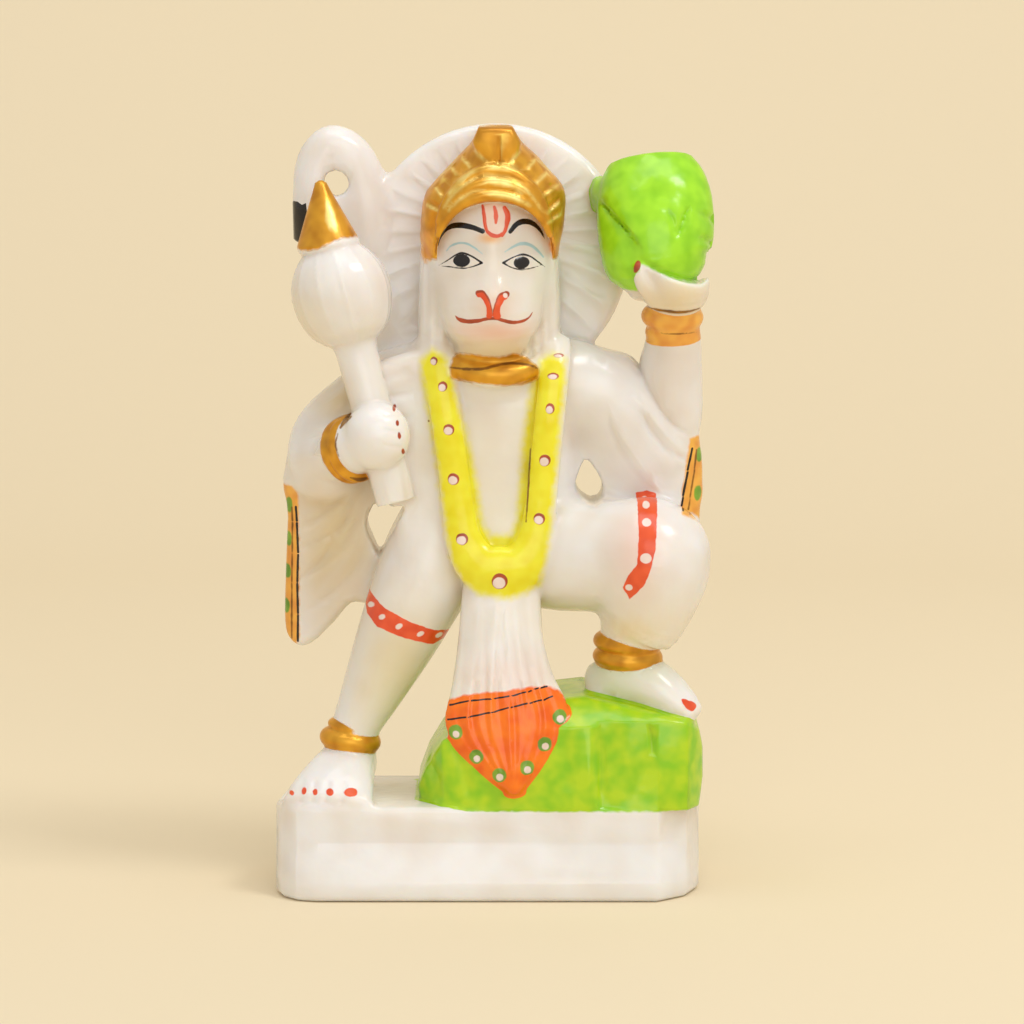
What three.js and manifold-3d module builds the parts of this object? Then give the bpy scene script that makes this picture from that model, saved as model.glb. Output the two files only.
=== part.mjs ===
// A small Hanuman figure for a home shrine, carved in one piece with its plinth from white marble and
// painted. It stands with one foot on a rock, a mace in one hand and a hill held up in the other.
// Lengths are millimetres, +Z is up, the viewer stands at -Y, and the origin is the middle of the
// plinth's underside.

import * as THREE from "three";
import { mergeVertices } from "three/addons/utils/BufferGeometryUtils.js";
import Module from "manifold-3d";

const wasm = await Module();
wasm.setup();

// The figure. Its pose, proportions and carving are shares of its height: every place and thickness in
// its forms is counted in such shares, and its places are measured up from the top of the plinth.
const figureHeight = 133.5;
const share = figureHeight / 133.5;
const stance = 80 * share; // from the outer edge of the standing foot to the outer edge of the rock
const bulk = 34 * share; // from the front of the rock to the back of the halo
const middleX = 1.2; // the line of the nose and the crown
const haloRays = 32;
const maceFlutes = 12;
const rightThrough = [-30, 30, 0]; // depths for a hole that is cut through everything, and no bevel

// The plinth.
const plinthHeight = 18.5;
const plinthSideMargin = 2.2; // left bare at each end of the stance
const plinthFrontMargin = 1; // left bare in front of the rock and behind the halo
const plinthFootHeight = 10.2; // top of the sloped foot that runs along the front
const plinthFootSlope = 5.6; // height over which that foot comes forward
const plinthFootReach = 2; // how far it comes forward
const plinthCornerWidth = 8.6; // taken off each front corner, seen from the front
const plinthCornerDepth = 13; // and seen from the side
const plinthEdge = 0.9; // rubbed edges
const plinthWidth = stance + 2 * plinthSideMargin;
const plinthDepth = bulk + 2 * plinthFrontMargin;

const marble = new THREE.MeshStandardMaterial({ color: 0xece6dd, roughness: 0.32, metalness: 0 });

// A place on the figure, in millimetres.
function place(x, y, z) {
  return new THREE.Vector3(x, y, z).multiplyScalar(share).add(new THREE.Vector3(0, 0, plinthHeight));
}

// A closed three.js geometry as a solid that can be joined and cut.
function solid(geometry) {
  const bare = new THREE.BufferGeometry();
  bare.setAttribute("position", geometry.getAttribute("position"));
  bare.setIndex(geometry.index);
  const welded = mergeVertices(bare, 1e-3);
  const corners = welded.index.array;
  const kept = [];
  for (let i = 0; i < corners.length; i += 3) {
    const [a, b, c] = [corners[i], corners[i + 1], corners[i + 2]];
    if (a !== b && b !== c && c !== a) kept.push(a, b, c);
  }
  return new wasm.Manifold(
    new wasm.Mesh({
      numProp: 3,
      vertProperties: new Float32Array(welded.attributes.position.array),
      triVerts: new Uint32Array(kept),
    }),
  );
}

// Joins closed geometries and takes others away.
function carve(joined, cut = []) {
  const whole = joined.map(solid).reduce((sum, piece) => sum.add(piece));
  return cut.map(solid).reduce((rest, piece) => rest.subtract(piece), whole);
}

// The closed surface through rings of equally many points. A ring runs anticlockwise as seen from the
// side of the last ring.
function skin(rings) {
  const sides = rings[0].length;
  const middle = (ring) => ring.reduce((sum, p) => sum.add(p), new THREE.Vector3()).divideScalar(sides);
  const points = [...rings.flat(), middle(rings[0]), middle(rings.at(-1))];
  const [firstPole, lastPole] = [points.length - 2, points.length - 1];
  const lastRing = (rings.length - 1) * sides;
  const faces = [];
  for (let k = 0; k < sides; k++) {
    const next = (k + 1) % sides;
    for (let i = 0; i + 1 < rings.length; i++) {
      const [a, b] = [i * sides + k, i * sides + next];
      faces.push(a, b, b + sides, a, b + sides, a + sides);
    }
    faces.push(firstPole, next, k, lastPole, lastRing + k, lastRing + next);
  }
  return new THREE.BufferGeometry().setFromPoints(points).setIndex(faces);
}

// A rounded form drawn along a smooth line. Each station is [x, y, z, half width, half thickness]; the
// thickness lies along the facing direction, and the width across it and across the line. Every other
// edge of a fluted one is sunk by that share of its thickness, and a round end bulges by its own share.
function limb(stations, options = {}) {
  const { sides = 12, facing = [0, 1, 0], startRound = 0.6, endRound = 0.6, flute = 0 } = options;
  const line = new THREE.CatmullRomCurve3(stations.map(([x, y, z]) => place(x, y, z)));
  const girth = new THREE.CatmullRomCurve3(
    stations.map(([, , , wide, thick]) => new THREE.Vector3(wide, thick, 0).multiplyScalar(share)),
  );
  const front = new THREE.Vector3(...facing);
  const ringAt = (t, shrink, reach) => {
    const along = line.getTangent(t);
    const size = girth.getPoint(t);
    const across = front.clone().cross(along).normalize();
    const inward = along.clone().cross(across);
    const centre = line.getPoint(t).addScaledVector(along, reach * Math.min(size.x, size.y));
    return Array.from({ length: sides }, (_, k) => {
      const angle = (2 * Math.PI * k) / sides;
      const depth = k % 2 ? 1 - flute : 1;
      return centre
        .clone()
        .addScaledVector(across, Math.cos(angle) * size.x * shrink)
        .addScaledVector(inward, Math.sin(angle) * size.y * shrink * depth);
    });
  };
  const capTurn = 0.95; // radians round each rounded end
  const spans = stations.length - 1;
  const start = startRound ? [ringAt(0, Math.cos(capTurn), -Math.sin(capTurn) * startRound)] : [];
  const end = endRound ? [ringAt(1, Math.cos(capTurn), Math.sin(capTurn) * endRound)] : [];
  return skin([...start, ...Array.from({ length: spans + 1 }, (_, i) => ringAt(i / spans, 1, 0)), ...end]);
}

// An egg with its middle at a place and its half sizes along X, Y and Z.
function egg(centre, halfSizes, columns = 16, rows = 10) {
  const ball = new THREE.SphereGeometry(1, columns, rows).rotateX(Math.PI / 2);
  ball.scale(...halfSizes.map((size) => size * share));
  return ball.translate(...place(...centre));
}

// A slab between two depths. Its outline is seen from the front, as [x, z] points.
function slab(outline, yFront, yBack, bevel = 1) {
  const body = new THREE.ExtrudeGeometry(new THREE.Shape(outline.map(([x, z]) => new THREE.Vector2(x, z))), {
    depth: yBack - yFront - 2 * bevel,
    bevelEnabled: bevel > 0,
    bevelThickness: bevel,
    bevelSize: bevel,
    bevelOffset: -bevel,
    bevelSegments: 1,
  });
  body.rotateX(Math.PI / 2).translate(0, yBack - bevel, 0);
  return body.scale(share, share, share).translate(0, 0, plinthHeight);
}

// A narrow tool run along a line: it adds a cord, or cuts a groove where it is taken away.
function run(points, halfWidth, halfDepth = halfWidth, options = {}) {
  const stations = points.map(([x, y, z]) => [x, y, z, halfWidth, halfDepth]);
  return limb(stations, { sides: 4, startRound: 0, endRound: 0, ...options });
}

// A thick bangle round a wrist or an ankle.
function bangle(from, towards, radius, height) {
  const roll = 1.3;
  const profile = [
    [0, 0],
    [radius - roll, 0],
    [radius, height * 0.3],
    [radius + roll / 4, height * 0.66],
    [radius - roll, height],
    [0, height],
  ];
  const outline = profile.map(([reach, up]) => new THREE.Vector2(reach, up).multiplyScalar(share));
  const ring = new THREE.LatheGeometry(outline, 10).rotateX(Math.PI / 2);
  const axis = place(...towards).sub(place(...from)).normalize();
  ring.applyQuaternion(new THREE.Quaternion().setFromUnitVectors(new THREE.Vector3(0, 0, 1), axis));
  return ring.translate(...place(...from));
}

// The block underfoot: upright sides, front corners taken off, and a sloped foot along the front.
function plinth() {
  const front = -plinthDepth / 2;
  const back = plinthDepth / 2;
  const backCorner = 3;
  const outline = (z, reach, inset) => {
    const half = plinthWidth / 2 - inset;
    const y = front - reach + inset;
    const corner = plinthCornerWidth * (1 - (plinthFootReach - reach) / plinthCornerDepth);
    const side = front - plinthFootReach + plinthCornerDepth;
    const waist = [half - corner * 0.3, y + (side - y) * 0.45];
    return [
      [-half + corner, y],
      [half - corner, y],
      waist,
      [half, side],
      [half, back - inset - backCorner],
      [half - backCorner, back - inset],
      [-half + backCorner, back - inset],
      [-half, back - inset - backCorner],
      [-half, side],
      [-waist[0], waist[1]],
    ].map(([px, py]) => new THREE.Vector3(px, py, z));
  };
  return skin([
    outline(0, plinthFootReach, plinthEdge),
    outline(plinthEdge * 1.6, plinthFootReach, 0),
    outline(plinthFootHeight - plinthFootSlope, plinthFootReach, 0),
    outline(plinthFootHeight, 0, 0),
    outline(plinthHeight - plinthEdge, 0, 0),
    outline(plinthHeight, 0, plinthEdge),
  ]);
}

// The faceted rock under the raised foot.
function rock() {
  const fromFront = slab(
    [[-14.6, -2], [42, -2], [42.9, 5], [42.8, 11], [42, 14.6], [39.6, 16.8],
     [30, 19.2], [19, 21.3], [8, 20], [-3, 16.8], [-9, 13], [-12, 8], [-14, 2.6]],
    -16.8,
    14,
    1.4,
  );
  const above = [
    [-16, 13], [-15.4, -6], [-9, -14.6], [-3, -16.2], [21.4, -16.8], [22.6, -15.4], [32.2, -16.2],
    [32.9, -15.2], [34, -16.8], [39.6, -15.4], [43, -9], [43, 10], [38, 14], [-10, 14],
  ];
  const [lowest, tall] = [-5, 40]; // it runs past the slab at both ends
  const plan = new THREE.Shape(above.map(([x, y]) => new THREE.Vector2(x, y)));
  const fromAbove = new THREE.ExtrudeGeometry(plan, { depth: tall, bevelEnabled: false });
  fromAbove.translate(0, 0, lowest).scale(share, share, share).translate(0, 0, plinthHeight);
  const frontEdge = run([[-20, -19.5, 15.8], [50, -19.5, 18.6]], 3.4, 3.4, { facing: [0, 1, 1] });
  return solid(fromFront).intersect(solid(fromAbove)).subtract(solid(frontEdge));
}

// The straight leg, its foot flat on the plinth. The toes are one soft edge.
function standingLeg() {
  const leg = limb(
    [[-4, 2, 60, 9.5, 9], [-9.8, 1, 49.5, 10.4, 9.5], [-14.8, -0.5, 39, 9.2, 9],
     [-18.9, -1.5, 30, 7.9, 8], [-23.1, -2, 21, 6.2, 6.6], [-26.5, -2, 13.4, 4.8, 5.2],
     [-27.6, -1.5, 7, 4.8, 5.6]],
  );
  const foot = limb(
    [[-27.4, 6, 2.6, 4, 3.6], [-27.9, 1, 5, 5.2, 5.4], [-29.2, -5, 4.8, 6.8, 5.2],
     [-30.8, -10.6, 2.6, 8.4, 4], [-31.6, -14.6, 0.8, 8.8, 2.6]],
    { facing: [0, 0, 1], sides: 10 },
  );
  return carve([leg, foot, bangle([-27.5, -2, 8.9], [-26.6, -2, 15], 6.5, 5.2)]);
}

// The bent leg, its knee forward and its foot on the rock.
function bentLeg() {
  const thigh = limb(
    [[0, 3, 52, 9.5, 9], [10, 0.5, 49, 11.4, 10],
     [21, -3.5, 48.4, 11.2, 10.4], [31, -7, 49, 10.4, 10.2]],
    { sides: 14, endRound: 0 },
  );
  const knee = egg([32.6, -7.4, 49.4], [11.3, 10.8, 10.7], 14, 9);
  const shin = limb(
    [[34.2, -8, 50, 8.6, 9.5], [33.2, -8, 45, 10.2, 10.4], [30.8, -7.4, 37, 8.8, 9],
     [28.6, -6.4, 31.4, 6.6, 7], [27.8, -5.6, 26, 5.6, 6.2]],
    { sides: 10 },
  );
  const foot = limb(
    [[22.6, -4, 21.8, 4.4, 4.6], [27.4, -6, 23.8, 5.6, 5.4], [33.4, -8.6, 22.2, 5.8, 5],
     [38.4, -10.4, 19.2, 5, 3.4], [40.6, -11.2, 17.8, 3.8, 2.2]],
    { facing: [0, 0, 1], sides: 10 },
  );
  return carve([thigh, knee, shin, foot, bangle([27.9, -5.7, 26.8], [28.5, -6.1, 32], 6.9, 5.2)]);
}

// Hips, belly, chest and shoulders, with the collar.
function torso() {
  const trunk = limb(
    [[3, 2, 43, 11.5, 7.5], [2.4, 1.2, 50, 15, 9.2], [1.7, 1, 58, 15.4, 9.2], [1.2, 1, 68, 15.8, 9.4],
     [1.1, 1.2, 78, 17.6, 9.8], [1.2, 2, 84.6, 18.6, 9], [1.2, 3, 89.4, 14, 7.4], [1.2, 3, 94, 8.6, 7.4]],
    { sides: 14, startRound: 0.3 },
  );
  const collar = limb(
    [[-8, -5.4, 87.6, 1.6, 1.6], [-4, -8.6, 85.7, 2, 2], [1.4, -9.8, 84.8, 2.2, 2.2],
     [6.8, -8.8, 85.5, 2, 2], [10.6, -5.6, 87.4, 1.6, 1.6]],
    { sides: 6 },
  );
  return carve([trunk, collar]);
}

// The long flower garland, a flat roll that hangs round the neck to below the waist.
function garland() {
  const halfWidths = [2.8, 2.9, 3, 3, 3.2, 3.7, 4.6];
  const down = [[-2, 91], [-6.6, 86.5], [-8.8, 78], [-8.9, 68], [-9, 58], [-9.4, 52], [-10, 47.4]];
  const leftX = [-10.8, -10, -8.4, -7, -5.7, -4.6, -1.8];
  const rightX = [13.8, 13.4, 12.4, 11.4, 10.4, 9.4, 6.8];
  const side = (xs) => down.map(([y, z], i) => [xs[i], y, z, halfWidths[i], halfWidths[i] / 2 + 0.3]);
  const lowest = [2.5, -10.4, 46, 5.1, 2.6];
  return carve([limb([...side(leftX), lowest, ...side(rightX).reverse()], { sides: 8 })]);
}

// The pleated end of the loincloth, which falls between the legs to a point on the rock.
function sash() {
  const cloth = limb(
    [[2.6, -6, 47, 7.2, 4.6], [2.7, -8.4, 41, 7.8, 4.4], [2.6, -10.6, 33, 8.4, 3.8],
     [3, -12.6, 25, 10, 3.4], [3.7, -14.2, 18.4, 12.2, 3], [4.2, -15.4, 13.4, 10.6, 2.8],
     [4.9, -16.6, 7.4, 5.6, 2.6], [5.4, -17.2, 3.4, 1.6, 2]],
    { sides: 24, endRound: 0.5, flute: 0.2 },
  );
  return carve([cloth]);
}

// The head: a long face with a full muzzle and a flat nose, hair that falls beside it, and the throat.
function head() {
  const face = limb(
    [[1, -1.5, 119, 10.6, 9.6], [0.8, -2.4, 108, 11.9, 10.4], [0.8, -3.2, 100.5, 11.7, 10.4],
     [1, -3.8, 94.6, 10.2, 9.4], [1.2, -3.6, 91.4, 7.6, 7.2]],
    { endRound: 0.45 },
  );
  const throat = limb(
    [[1.2, -3.4, 97, 8.6, 8.2], [1.2, -2.4, 90, 9, 8.4], [1.2, -1, 84, 9.6, 8.4]],
    { sides: 10 },
  );
  const muzzle = egg([middleX, -8.6, 96.6], [9.2, 7.2, 6.6], 12, 7);
  const nose = limb(
    [[1, -11.2, 110, 1.6, 1.6], [1, -12.2, 105, 1.9, 1.7], [1.1, -13.4, 101.4, 2.7, 2.3],
     [1.1, -13.6, 99.6, 2.4, 2.1]],
    { sides: 6 },
  );
  const hairMiddle = 0.3;
  const lock = [[11, 0.5, 112, 2.6, 5], [11.2, 0.5, 104, 2.9, 5.6], [10.8, 0.5, 96, 3.6, 5.8],
    [9.6, 1, 88, 4.8, 6]];
  const hair = [-1, 1].map((side) =>
    limb(lock.map(([x, ...rest]) => [hairMiddle + side * x, ...rest]), { sides: 6 }),
  );
  const nape = egg([0.6, 5, 102], [13.6, 9.8, 17], 10, 6);
  return carve([face, throat, muzzle, nose, ...hair, nape]);
}

// The tall crown, open over the forehead, with rolls round that opening, ribs above them and a bud.
function crown() {
  const crownX = 1.4;
  const back = 9.6; // it runs back into the halo
  const levels = [ // height, half width, front, middle
    [106.4, 12.4, -11.6, 0.6], [112, 13.9, -13.8, 0.8], [116, 14.2, -14.4, 1.1], [120, 13.9, -14.2, 1.5],
    [122.5, 12.5, -13.6, 1.9], [125, 10.2, -12.6, 1.9], [127.7, 7.7, -11.2, 2], [130.3, 5, -9.4, 1.8],
    [133.5, 3.3, -7, 1.6],
  ];
  const sides = 16;
  const shell = skin(levels.map(([z, halfWidth, front, x]) =>
    Array.from({ length: sides }, (_, k) => {
      const turn = (2 * Math.PI * k) / sides;
      const depth = (back + front) / 2 + ((back - front) / 2) * Math.sin(turn);
      return place(x + halfWidth * Math.cos(turn), depth, z);
    }),
  ));
  const frontAt = (x, z) => {
    const above = levels.findIndex(([level]) => level >= z);
    const [low, high] = [levels[above - 1], levels[above]];
    const part = (z - low[0]) / (high[0] - low[0]);
    const [halfWidth, front, middle] = [1, 2, 3].map((i) => THREE.MathUtils.lerp(low[i], high[i], part));
    const across = Math.min(Math.abs(x - middle) / halfWidth, 0.98);
    return (back + front) / 2 - ((back - front) / 2) * Math.sqrt(1 - across ** 2);
  };
  const archHalf = 11.6;
  const arcs = [[108.6, 10.7], [109.7, 11.8], [110.4, 13.6], [111, 15.5]]; // foot and rise
  const archAt = (turn, [foot, rise]) => [crownX + archHalf * Math.cos(turn), foot + rise * Math.sin(turn)];
  const arch = Array.from({ length: 9 }, (_, i) => archAt((Math.PI * i) / 8, arcs[0]));
  const sill = arcs[0][0] - 9;
  const opening = slab([...arch, [crownX - archHalf, sill], [crownX + archHalf, sill]], -30, -4, 0);
  const rolls = arcs.slice(1).map((outer, i) => {
    const stations = Array.from({ length: 7 }, (_, k) => {
      const turn = 0.3 + ((Math.PI - 0.6) * k) / 6;
      const [x, low] = archAt(turn, arcs[i]);
      const [, high] = archAt(turn, outer);
      const thick = Math.max((high - low) / 2, 0.5);
      const z = (low + high) / 2;
      return [x, frontAt(x, z) + 0.1, z, thick * 1.05, thick];
    });
    return limb(stations, { sides: 4, facing: [0, 1, 0.35], startRound: 0, endRound: 0 });
  });
  const ribs = [-70, -56, -42, -25, 31, 46, 60, 72].map((degrees) => {
    const turn = (degrees * Math.PI) / 180;
    const along = (reach) => {
      const [x, z] = [crownX + reach * Math.sin(turn), 114 + reach * Math.cos(turn)];
      return [x, frontAt(x, z), z];
    };
    return run([along(11.8), along(14.4)], 0.3, 0.7);
  });
  const bud = slab(
    [[-1.7, 133.5], [-2.9, 130.6], [-2.4, 129], [0.2, 126.5], [4.4, 126.5], [6.2, 128.8],
     [6.6, 130.5], [5, 133.5]],
    -11.9,
    -2,
    0.9,
  );
  const budSplit = run([[2.3, -12, 125.6], [2.4, -11.9, 131.6]], 0.3, 0.6);
  return carve([shell], [opening, ...ribs]).add(carve(rolls)).add(carve([bud], [budSplit]));
}

// The round halo behind the head: a disc with a ring of rays cut outwards across its face.
function halo() {
  const [centreX, centreZ] = [1.6, 107.6];
  const [halfWidth, halfHeight] = [26.6, 26];
  const [front, back] = [8, 16.5];
  const ringOf = (stretch, depth, cut) =>
    Array.from({ length: haloRays * 2 }, (_, k) => {
      const turn = (Math.PI * k) / haloRays;
      const x = centreX + halfWidth * stretch * Math.cos(turn);
      return place(x, k % 2 ? depth + cut : depth, centreZ + halfHeight * stretch * Math.sin(turn));
    });
  const rim = [ringOf(0.92, back, 0), ringOf(1, back - 2, 0), ringOf(1, front + 2.4, 0.8)];
  return solid(skin([...rim, ringOf(0.55, front, 0.9)]));
}

// The tail: it climbs behind the back, loops over beside the halo and ends in a blunt tip.
function tail() {
  const climb = limb(
    [[2, 10, 44, 4, 4], [-4, 12.4, 56, 4.2, 4], [-13, 12.6, 74, 4.2, 4],
     [-20.4, 12.2, 93, 4.4, 4.2], [-23.4, 12, 108, 4.6, 4.4], [-24.2, 12, 118, 4.2, 4.4]],
    { sides: 8 },
  );
  const loop = limb(
    [[-23.8, 12, 112, 4.4, 4.4], [-24.3, 12, 120.6, 4.2, 4.4],
     [-26.9, 12, 126.8, 4.1, 4.4], [-31.2, 12, 128.9, 4, 4.4],
     [-34.8, 12, 125.6, 3.9, 4.3], [-35.7, 12, 119, 3.8, 4.2], [-36, 12, 111.8, 3.2, 3.8]],
    { sides: 10 },
  );
  const web = slab([[-36, 108], [-36, 116.6], [-32, 119], [-28, 119], [-24, 117], [-24, 108]], 9, 15);
  return carve([climb, loop, web]);
}

// The mace: a fluted ball on a shaft, with a cone above it. Each ring is [radius, height, flute depth].
function mace() {
  const ballMiddle = [-28.5, -6, 99.9];
  const coneEnd = [-34.4, -4.6, 122.7];
  const profile = [
    [4, -41.4, 0], [4.2, -9.4, 0], [7.6, -6.8, 0.5], [9.6, -2.4, 0.8], [9.8, 1.4, 0.8],
    [8.6, 5.6, 0.7], [5.6, 9.4, 0.2], [6.1, 11.2, 0], [5.6, 12.4, 0], [1.2, 22.4, 0],
  ];
  const axis = place(...coneEnd).sub(place(...ballMiddle)).normalize();
  const across = new THREE.Vector3(0, 1, 0).cross(axis).normalize();
  const inward = axis.clone().cross(across);
  const rings = profile.map(([radius, height, flute]) =>
    Array.from({ length: 2 * maceFlutes }, (_, k) => {
      const turn = (Math.PI * k) / maceFlutes;
      const reach = (k % 2 ? radius - flute : radius) * share;
      return place(...ballMiddle)
        .addScaledVector(axis, height * share)
        .addScaledVector(across, reach * Math.cos(turn))
        .addScaledVector(inward, reach * Math.sin(turn));
    }),
  );
  return solid(skin(rings));
}

// The lowered arm: a draped upper arm, a forearm coming forward and a closed fist round the mace.
function maceArm() {
  const sleeve = limb(
    [[-10, 4, 84, 7, 7.4], [-19, 5.4, 82.6, 8, 8], [-28, 5, 77.8, 8.4, 8.4],
     [-32.6, 4, 71, 7.8, 8], [-33, 4, 63, 7, 7.4]],
    { sides: 12, flute: 0.1 },
  );
  const forearm = limb(
    [[-34, 2, 68, 5.4, 6], [-31, -2, 69, 6, 6],
     [-26.6, -6.6, 70.6, 5.8, 5.8], [-23, -9.4, 72, 5.4, 5.4]],
    { facing: [1, 1, 0], sides: 10 },
  );
  const fist = egg([-21.8, -10.8, 72.9], [6.5, 5.8, 7.2], 12, 8);
  const wristBand = bangle([-28.8, -4.4, 69.4], [-25, -8.4, 70.6], 7, 3.6);
  return carve([sleeve, forearm, wristBand, fist]);
}

// The end of the shawl that hangs behind the elbow on the mace's side.
function hangingShawl() {
  const cloth = slab(
    [[-39.8, 66], [-40.4, 55], [-40.9, 44], [-41.2, 34], [-40.2, 30.4], [-37.6, 28.9], [-34.6, 30.2],
     [-31, 33.8], [-27.6, 37.6], [-24, 38], [-18, 42], [-15, 50], [-12, 60], [-12, 84], [-24, 80]],
    3,
    14,
    1.6,
  );
  const hipGap = [[-23.2, 57.4], [-16.4, 59], [-16.6, 57], [-19.6, 52], [-21.9, 48.4], [-24, 52.4]];
  const folds = [0, 1, 2].map((i) => {
    const fall = [[-26 - i * 2.4, 61], [-29.4 - i * 2.2, 52 - i], [-35 - i * 1.6, 42 + i * 2.4]];
    return run(fall.map(([x, z]) => [x, 2.6, z]), 0.6, 1.1);
  });
  return carve([cloth], [slab(hipGap, ...rightThrough), ...folds]);
}

// The raised arm: a draped upper arm, an upright forearm, a bracelet and a cupped hand with its thumb.
function raisedArm() {
  const sleeve = limb(
    [[12, 3.4, 83, 8, 7.2], [21, 2, 81, 8.8, 8], [29, 1.4, 74.6, 9, 8],
     [35, 2, 67, 8, 7.4], [37.4, 3, 60, 5.4, 6.6]],
    { sides: 12, flute: 0.1 },
  );
  const forearm = limb(
    [[35.2, 3, 68, 6, 6.4], [35.8, 2.4, 76, 7, 6.8], [36.2, 1.6, 84, 6.6, 6.4],
     [36.9, 0.6, 90.4, 5.6, 5.6], [36.8, -0.6, 96, 4.9, 5]],
    { sides: 10 },
  );
  const palm = limb(
    [[36.9, -0.6, 96, 4.6, 5], [37, -1.4, 99, 6.4, 7],
     [37.3, -2, 102.4, 6.9, 8.4], [37.6, -2, 105.4, 6.4, 8.2]],
    { sides: 10 },
  );
  const thumb = limb(
    [[33, -7, 99.6, 1.8, 1.8], [30.6, -9, 103, 1.7, 1.7], [29.4, -9.6, 106.4, 1.3, 1.4]],
    { sides: 6 },
  );
  const bracelet = bangle([36.6, 0.6, 90.6], [36.9, -0.9, 96.6], 6.7, 6);
  const cloth = slab(
    [[12, 87], [24, 88], [29, 87], [32.4, 81.2], [36, 75.6],
     [41.2, 71.4], [42.3, 66], [42.2, 58], [40, 46], [12, 50]],
    -0.6,
    12,
    1.8,
  );
  return carve([sleeve, cloth, forearm, palm, thumb, bracelet]);
}

// The hill on the raised hand, a rounded block with chisel cuts, joined to the halo by a small bridge.
function hill() {
  const block = limb(
    [[34.6, -1, 102, 7, 7.4], [33.6, -0.6, 106, 10.6, 10], [33.2, 0, 113, 11.6, 11],
     [33, 0.4, 120, 11.2, 10.6], [33, 0.6, 126, 8.6, 8.4]],
    { startRound: 0.3, endRound: 0.3 },
  );
  const bridge = egg([21.8, 7, 119.4], [2.6, 5, 3.4], 8, 6);
  const cuts = [
    run([[23.6, -8.6, 117.6], [31, -12.4, 109]], 0.7, 1.6),
    run([[39, -10.8, 119], [37, -11.6, 113]], 0.45, 1),
    run([[41.6, -9.4, 116], [45, -4, 113]], 0.5, 1),
  ];
  return carve([block, bridge], cuts);
}

// Everything was cut from one block, so all forms are joined into one solid.
function figure() {
  const forms = [
    rock(), standingLeg(), bentLeg(), torso(), garland(), sash(), head(), crown(), halo(), tail(), mace(),
    maceArm(), hangingShawl(), raisedArm(), hill(),
  ];
  const body = forms.reduce((whole, form) => whole.add(form), solid(plinth()));
  const armpit = [[19.5, 67.6], [17.4, 62.6], [17.8, 60.2], [20.4, 58.4], [22.6, 59.6], [23, 62.6]];
  return body.subtract(solid(slab(armpit, ...rightThrough)));
}

const { vertProperties, triVerts } = figure().getMesh();
const geometry = new THREE.BufferGeometry();
geometry.setAttribute("position", new THREE.BufferAttribute(vertProperties, 3));
geometry.setIndex(new THREE.BufferAttribute(triVerts, 1));
geometry.computeVertexNormals();

const hanuman = new THREE.Mesh(geometry, marble);
hanuman.name = "hanuman_figure";

const model = new THREE.Group();
model.add(hanuman);

export default model;
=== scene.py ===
"""A small painted marble Hanuman for a home shrine, carved in one block with its plinth.

The block is carved on a grid of points that hold the distance to the stone's surface: round limbs,
eggs, slabs and turned forms are joined with soft fillets, grooves and pleats are cut into them, and the
surface becomes one mesh. The paint is colour only: for each coat, the mesh's points keep the distance in
millimetres to the coat's edge, and the mesh is finest where the brush lines are. Some of the colour is
painted light: pale gold strokes stand for highlights, a pale spot stands for a highlight in a nostril,
and thin mists darken hollows and shaded sides and tint them with reflected warm and green light.

Lengths are millimetres until a mesh is made. +Z is up, the viewer stands at -Y, and heights in the
carving count from the top of the plinth.
"""

import logging
import math
from dataclasses import dataclass, field
from enum import Enum
from typing import Callable, ClassVar, Protocol, Sequence

import bmesh
import bpy
import numpy as np
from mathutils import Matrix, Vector


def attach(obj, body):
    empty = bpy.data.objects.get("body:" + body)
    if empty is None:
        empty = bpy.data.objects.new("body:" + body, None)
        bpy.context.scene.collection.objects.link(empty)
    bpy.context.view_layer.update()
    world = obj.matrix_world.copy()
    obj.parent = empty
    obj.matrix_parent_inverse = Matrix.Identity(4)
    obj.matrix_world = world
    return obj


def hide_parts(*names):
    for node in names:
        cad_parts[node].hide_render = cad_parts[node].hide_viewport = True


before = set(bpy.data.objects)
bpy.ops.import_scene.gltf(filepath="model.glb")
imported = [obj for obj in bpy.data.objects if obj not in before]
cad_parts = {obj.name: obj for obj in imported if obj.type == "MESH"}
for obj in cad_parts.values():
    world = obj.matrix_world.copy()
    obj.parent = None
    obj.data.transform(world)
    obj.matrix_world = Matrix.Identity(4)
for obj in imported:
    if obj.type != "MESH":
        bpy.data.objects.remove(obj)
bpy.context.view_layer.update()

log = logging.getLogger("hanuman")

Array = np.ndarray
Place = tuple[float, float, float]
Station = tuple[float, float, float, float, float]
Flat = tuple[float, float]
Area = tuple[float, float, float, float]

Tree = bpy.types.NodeTree
Socket = bpy.types.NodeSocket

MM = 0.001
PLINTH_TOP = 18.5
MIDDLE_X = 1.2  # the line of the nose and the crown
FAR = 9.0  # a distance that counts as well clear of the stone
UNKNOWN = 1e6  # a squared distance before anything is measured
TINY = 1e-9  # keeps a division by nothing away


# Lines and outlines


def smooth_line(rows: Sequence[Sequence[float]], steps: int = 4) -> Array:
    """Draws a smooth line through rows of numbers, such as places with widths.

    Args:
        rows: the rows to pass through.
        steps: points for each span.

    Returns:
        The denser rows, with the first and last kept.
    """
    p = np.asarray(rows, dtype=np.float64)
    p = np.vstack([2 * p[0] - p[1], p, 2 * p[-1] - p[-2]])
    t = np.linspace(0, 1, steps, endpoint=False)[:, None]
    spans = []
    for a, b, c, d in zip(p, p[1:], p[2:], p[3:]):
        spans.append(
            0.5 * (2 * b + (c - a) * t + (2 * a - 5 * b + 4 * c - d) * t**2 + (3 * b - a - 3 * c + d) * t**3)
        )
    return np.vstack([*spans, p[-2][None]])


def smooth_ring(points: Sequence[Flat], steps: int = 4) -> Array:
    """Rounds a closed outline, given as points in order.

    Args:
        points: the corners of the outline.
        steps: points for each side.

    Returns:
        The denser outline.
    """
    count = len(points)
    around = [points[i % count] for i in range(-1, count + 2)]
    line = smooth_line(around, steps)
    return line[steps : steps + count * steps]


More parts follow.
